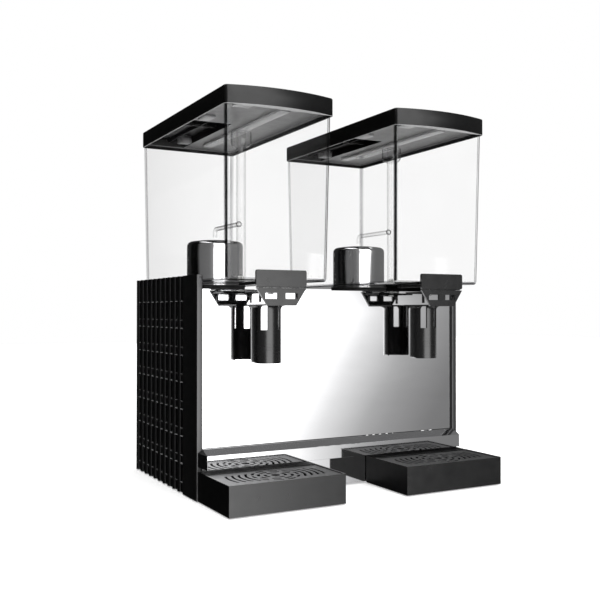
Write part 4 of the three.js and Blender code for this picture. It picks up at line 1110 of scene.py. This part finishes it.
def dress_cad_nodes():
    """Materials and rounded edges for the CAD nodes whose shape is shown as it is."""
    dressed = {
        "front_panel": (MIRROR, 0.2),
        "lower_front_panel": (MIRROR, 0.2),
        "drip_ledge": (MIRROR, 0.25),
        "ledge_cap_left": (BLACK, 0.5),
        "ledge_cap_right": (BLACK, 0.5),
        "deck_plate": (SATIN, 0.2),
        "rear_panel": (SHEET, 0.2),
        "base_pan": (SHEET, 0.3),
        "foot_front_left": (RUBBER, 0.8),
        "foot_front_right": (RUBBER, 0.8),
        "foot_rear_left": (RUBBER, 0.8),
        "foot_rear_right": (RUBBER, 0.8),
        "compressor": (ENAMEL, 0.5),
        "condenser": (FINS, 0.1),
        "fan_shroud": (SHEET, 0.2),
        "fan_blade": (BLACK, 0.2),
        "fan_motor": (SHEET, 0.4),
        "refrigerant_line_left": (COPPER, 0.05),
        "refrigerant_line_right": (COPPER, 0.05),
        "pump_motor_left": (SHEET, 0.4),
        "pump_motor_right": (SHEET, 0.4),
        "pump_rotor_left": (WHITE, 0.1),
        "pump_rotor_right": (WHITE, 0.1),
        "lever_pin_left": (SATIN, 0.2),
        "lever_pin_right": (SATIN, 0.2),
        "valve_plunger_left": (WHITE, 0.2),
        "valve_plunger_right": (WHITE, 0.2),
        "return_spring_left": (SATIN, 0.05),
        "return_spring_right": (SATIN, 0.05),
        "switch_panel": (BLACK, 0.3),
        "power_switch": (GREY, 0.4),
        "mixer_switch": (GREY, 0.4),
        "thermostat_knob": (GREY, 0.4),
        "power_inlet": (BLACK, 0.3),
    }
    for name, (material, width) in dressed.items():
        obj = soften_cad(name, width * MM)
        obj.data.materials.clear()
        obj.data.materials.append(material)


# ---------------------------------------------------------------- camera, floor and light


LENS = 50.25
SENSOR_WIDTH = 36
LENS_SHIFT = 0.0019
EYE = (-0.7182, -1.2919, 0.2928)
EYE_TURN = (math.pi / 2 + 0.011, 0, -0.495)


def build_camera():
    camera = bpy.data.cameras.new("camera")
    camera.lens = LENS
    camera.sensor_width = SENSOR_WIDTH
    camera.shift_y = LENS_SHIFT
    camera.clip_start = 0.05
    camera.clip_end = 50
    holder = bpy.data.objects.new("camera", camera)
    holder.location = EYE
    holder.rotation_euler = EYE_TURN
    bpy.context.scene.collection.objects.link(holder)
    bpy.context.scene.camera = holder


def build_floor():
    """A pale floor that meets the pale background without a line."""
    floor = block("floor", (-6, 6), (-6, 6), (-0.01, -0.0002))
    material, tree, shader = new_material("pale_floor")
    cloud = noise(tree, 3, 2)
    tint = blend_colours(tree, cloud, (0.93, 0.93, 0.93), (0.95, 0.95, 0.95))
    tree.links.new(tint, shader.inputs["Base Color"])
    shader.inputs["Roughness"].default_value = 0.9
    shader.inputs["Emission Color"].default_value = (1, 1, 1, 1)
    shader.inputs["Emission Strength"].default_value = 0.35
    floor.data.materials.append(material)
    floor.visible_glossy = False


# The studio round the machine as (degrees from the front towards the right, brightness).
STUDIO = (
    (-180, 0.03),
    (-135, 0.015),
    (-130, 0.0),
    (-92, 0.0),
    (-84, 0.08),
    (-78, 0.15),
    (-38, 0.18),
    (-22, 0.3),
    (-14, 3.6),
    (26, 3.6),
    (33, 1.05),
    (37, 0.42),
    (41, 0.22),
    (62, 0.16),
    (145, 0.16),
    (158, 0.1),
    (180, 0.04),
)
STUDIO_PEAK = 3.6
STUDIO_TOP = 2.6
SOFTBOX_LEAN = {"below": 0.5, "above": 0.8}
CLEAR_BOUNCES = 24  # enough for every clear wall of both tanks in one line of sight
# The pale floor as it is mirrored from below, which reaches the eye only from behind the machine.
FLOOR_GLOW = ((-180, 0.04), (90, 0.14), (105, 1.0), (175, 1.0), (180, 0.04))


def brightness_ramp(tree, turn, stops):
    """Brightness by direction from a table of (degrees, brightness)."""
    ramp = node(tree, "ShaderNodeValToRGB", {"Fac": turn})
    elements = ramp.color_ramp.elements
    while len(elements) < len(stops):
        elements.new(0.5)
    for element, (degrees, value) in zip(elements, stops):
        element.position = (degrees + 180) / 360
        level = value / STUDIO_PEAK
        element.color = (level, level, level, 1)
    inputs = {0: ramp.outputs["Color"], 1: STUDIO_PEAK}
    return node(tree, "ShaderNodeMath", inputs, operation="MULTIPLY").outputs[0]


def blend_values(tree, factor, first, second):
    mix = node(tree, "ShaderNodeMix", {0: factor, 2: first, 3: second}, data_type="FLOAT")
    return mix.outputs[0]


def build_studio():
    """A white cyclorama with one big softbox in front, one overhead and dark flags to the left."""
    world = bpy.data.worlds.new("studio")
    bpy.context.scene.world = world
    world.use_nodes = True
    tree = world.node_tree
    tree.nodes.clear()
    place = node(tree, "ShaderNodeTexCoord")
    split = node(tree, "ShaderNodeSeparateXYZ", {"Vector": place.outputs["Generated"]})
    back = node(tree, "ShaderNodeMath", {0: split.outputs["Y"], 1: -1.0}, operation="MULTIPLY")
    inputs = {0: split.outputs["X"], 1: back.outputs[0]}
    angle = node(tree, "ShaderNodeMath", inputs, operation="ARCTAN2").outputs[0]
    low_lean = spread(tree, split.outputs["Z"], 0.15 * SOFTBOX_LEAN["below"], 0, -0.15, 0)
    high_lean = spread(tree, split.outputs["Z"], 0, 0.2 * SOFTBOX_LEAN["above"], 0, 0.2)
    lean = node(tree, "ShaderNodeMath", {0: low_lean, 1: high_lean}, operation="ADD").outputs[0]
    leaning = node(tree, "ShaderNodeMath", {0: angle, 1: lean}, operation="ADD").outputs[0]
    around = brightness_ramp(tree, spread(tree, leaning, 0, 1, -math.pi, math.pi), STUDIO)
    below = brightness_ramp(tree, spread(tree, angle, 0, 1, -math.pi, math.pi), FLOOR_GLOW)
    floor_part = spread(tree, angle, 0, 1, math.radians(85), math.radians(100))
    downward = spread(tree, split.outputs["Z"], 1, 0, -0.08, -0.02)
    floor_share = node(tree, "ShaderNodeMath", {0: floor_part, 1: downward}, operation="MULTIPLY").outputs[0]
    level = blend_values(tree, floor_share, around, below)
    overhead = spread(tree, split.outputs["Z"], 0, 1, 0.8, 0.9)
    level = blend_values(tree, overhead, level, STUDIO_TOP)
    rig = node(tree, "ShaderNodeBackground", {"Color": (1, 1, 1, 1), "Strength": level})
    backdrop = node(tree, "ShaderNodeBackground", {"Color": (1, 1, 1, 1)})
    path = node(tree, "ShaderNodeLightPath")
    mix = node(tree, "ShaderNodeMixShader", {"Fac": path.outputs["Is Camera Ray"]})
    tree.links.new(rig.outputs[0], mix.inputs[1])
    tree.links.new(backdrop.outputs[0], mix.inputs[2])
    output = node(tree, "ShaderNodeOutputWorld")
    tree.links.new(mix.outputs[0], output.inputs["Surface"])
    bpy.context.scene.view_settings.view_transform = "Standard"
    bpy.context.scene.cycles.transparent_max_bounces = CLEAR_BOUNCES


# ---------------------------------------------------------------- assembly

build_camera()
build_floor()
build_studio()
dress_cad_nodes()
for side in SIDES:
    build_side_panel(side)
    build_trim(side)
    build_lid(side)
    build_tank(side)
    build_dome(side)
    build_collar(side)
    build_riser(side)
    build_elbow(side)
    build_spreader(side)
    build_tray(side)
    build_grate(side)
    build_bracket(side)
    build_lever(side)
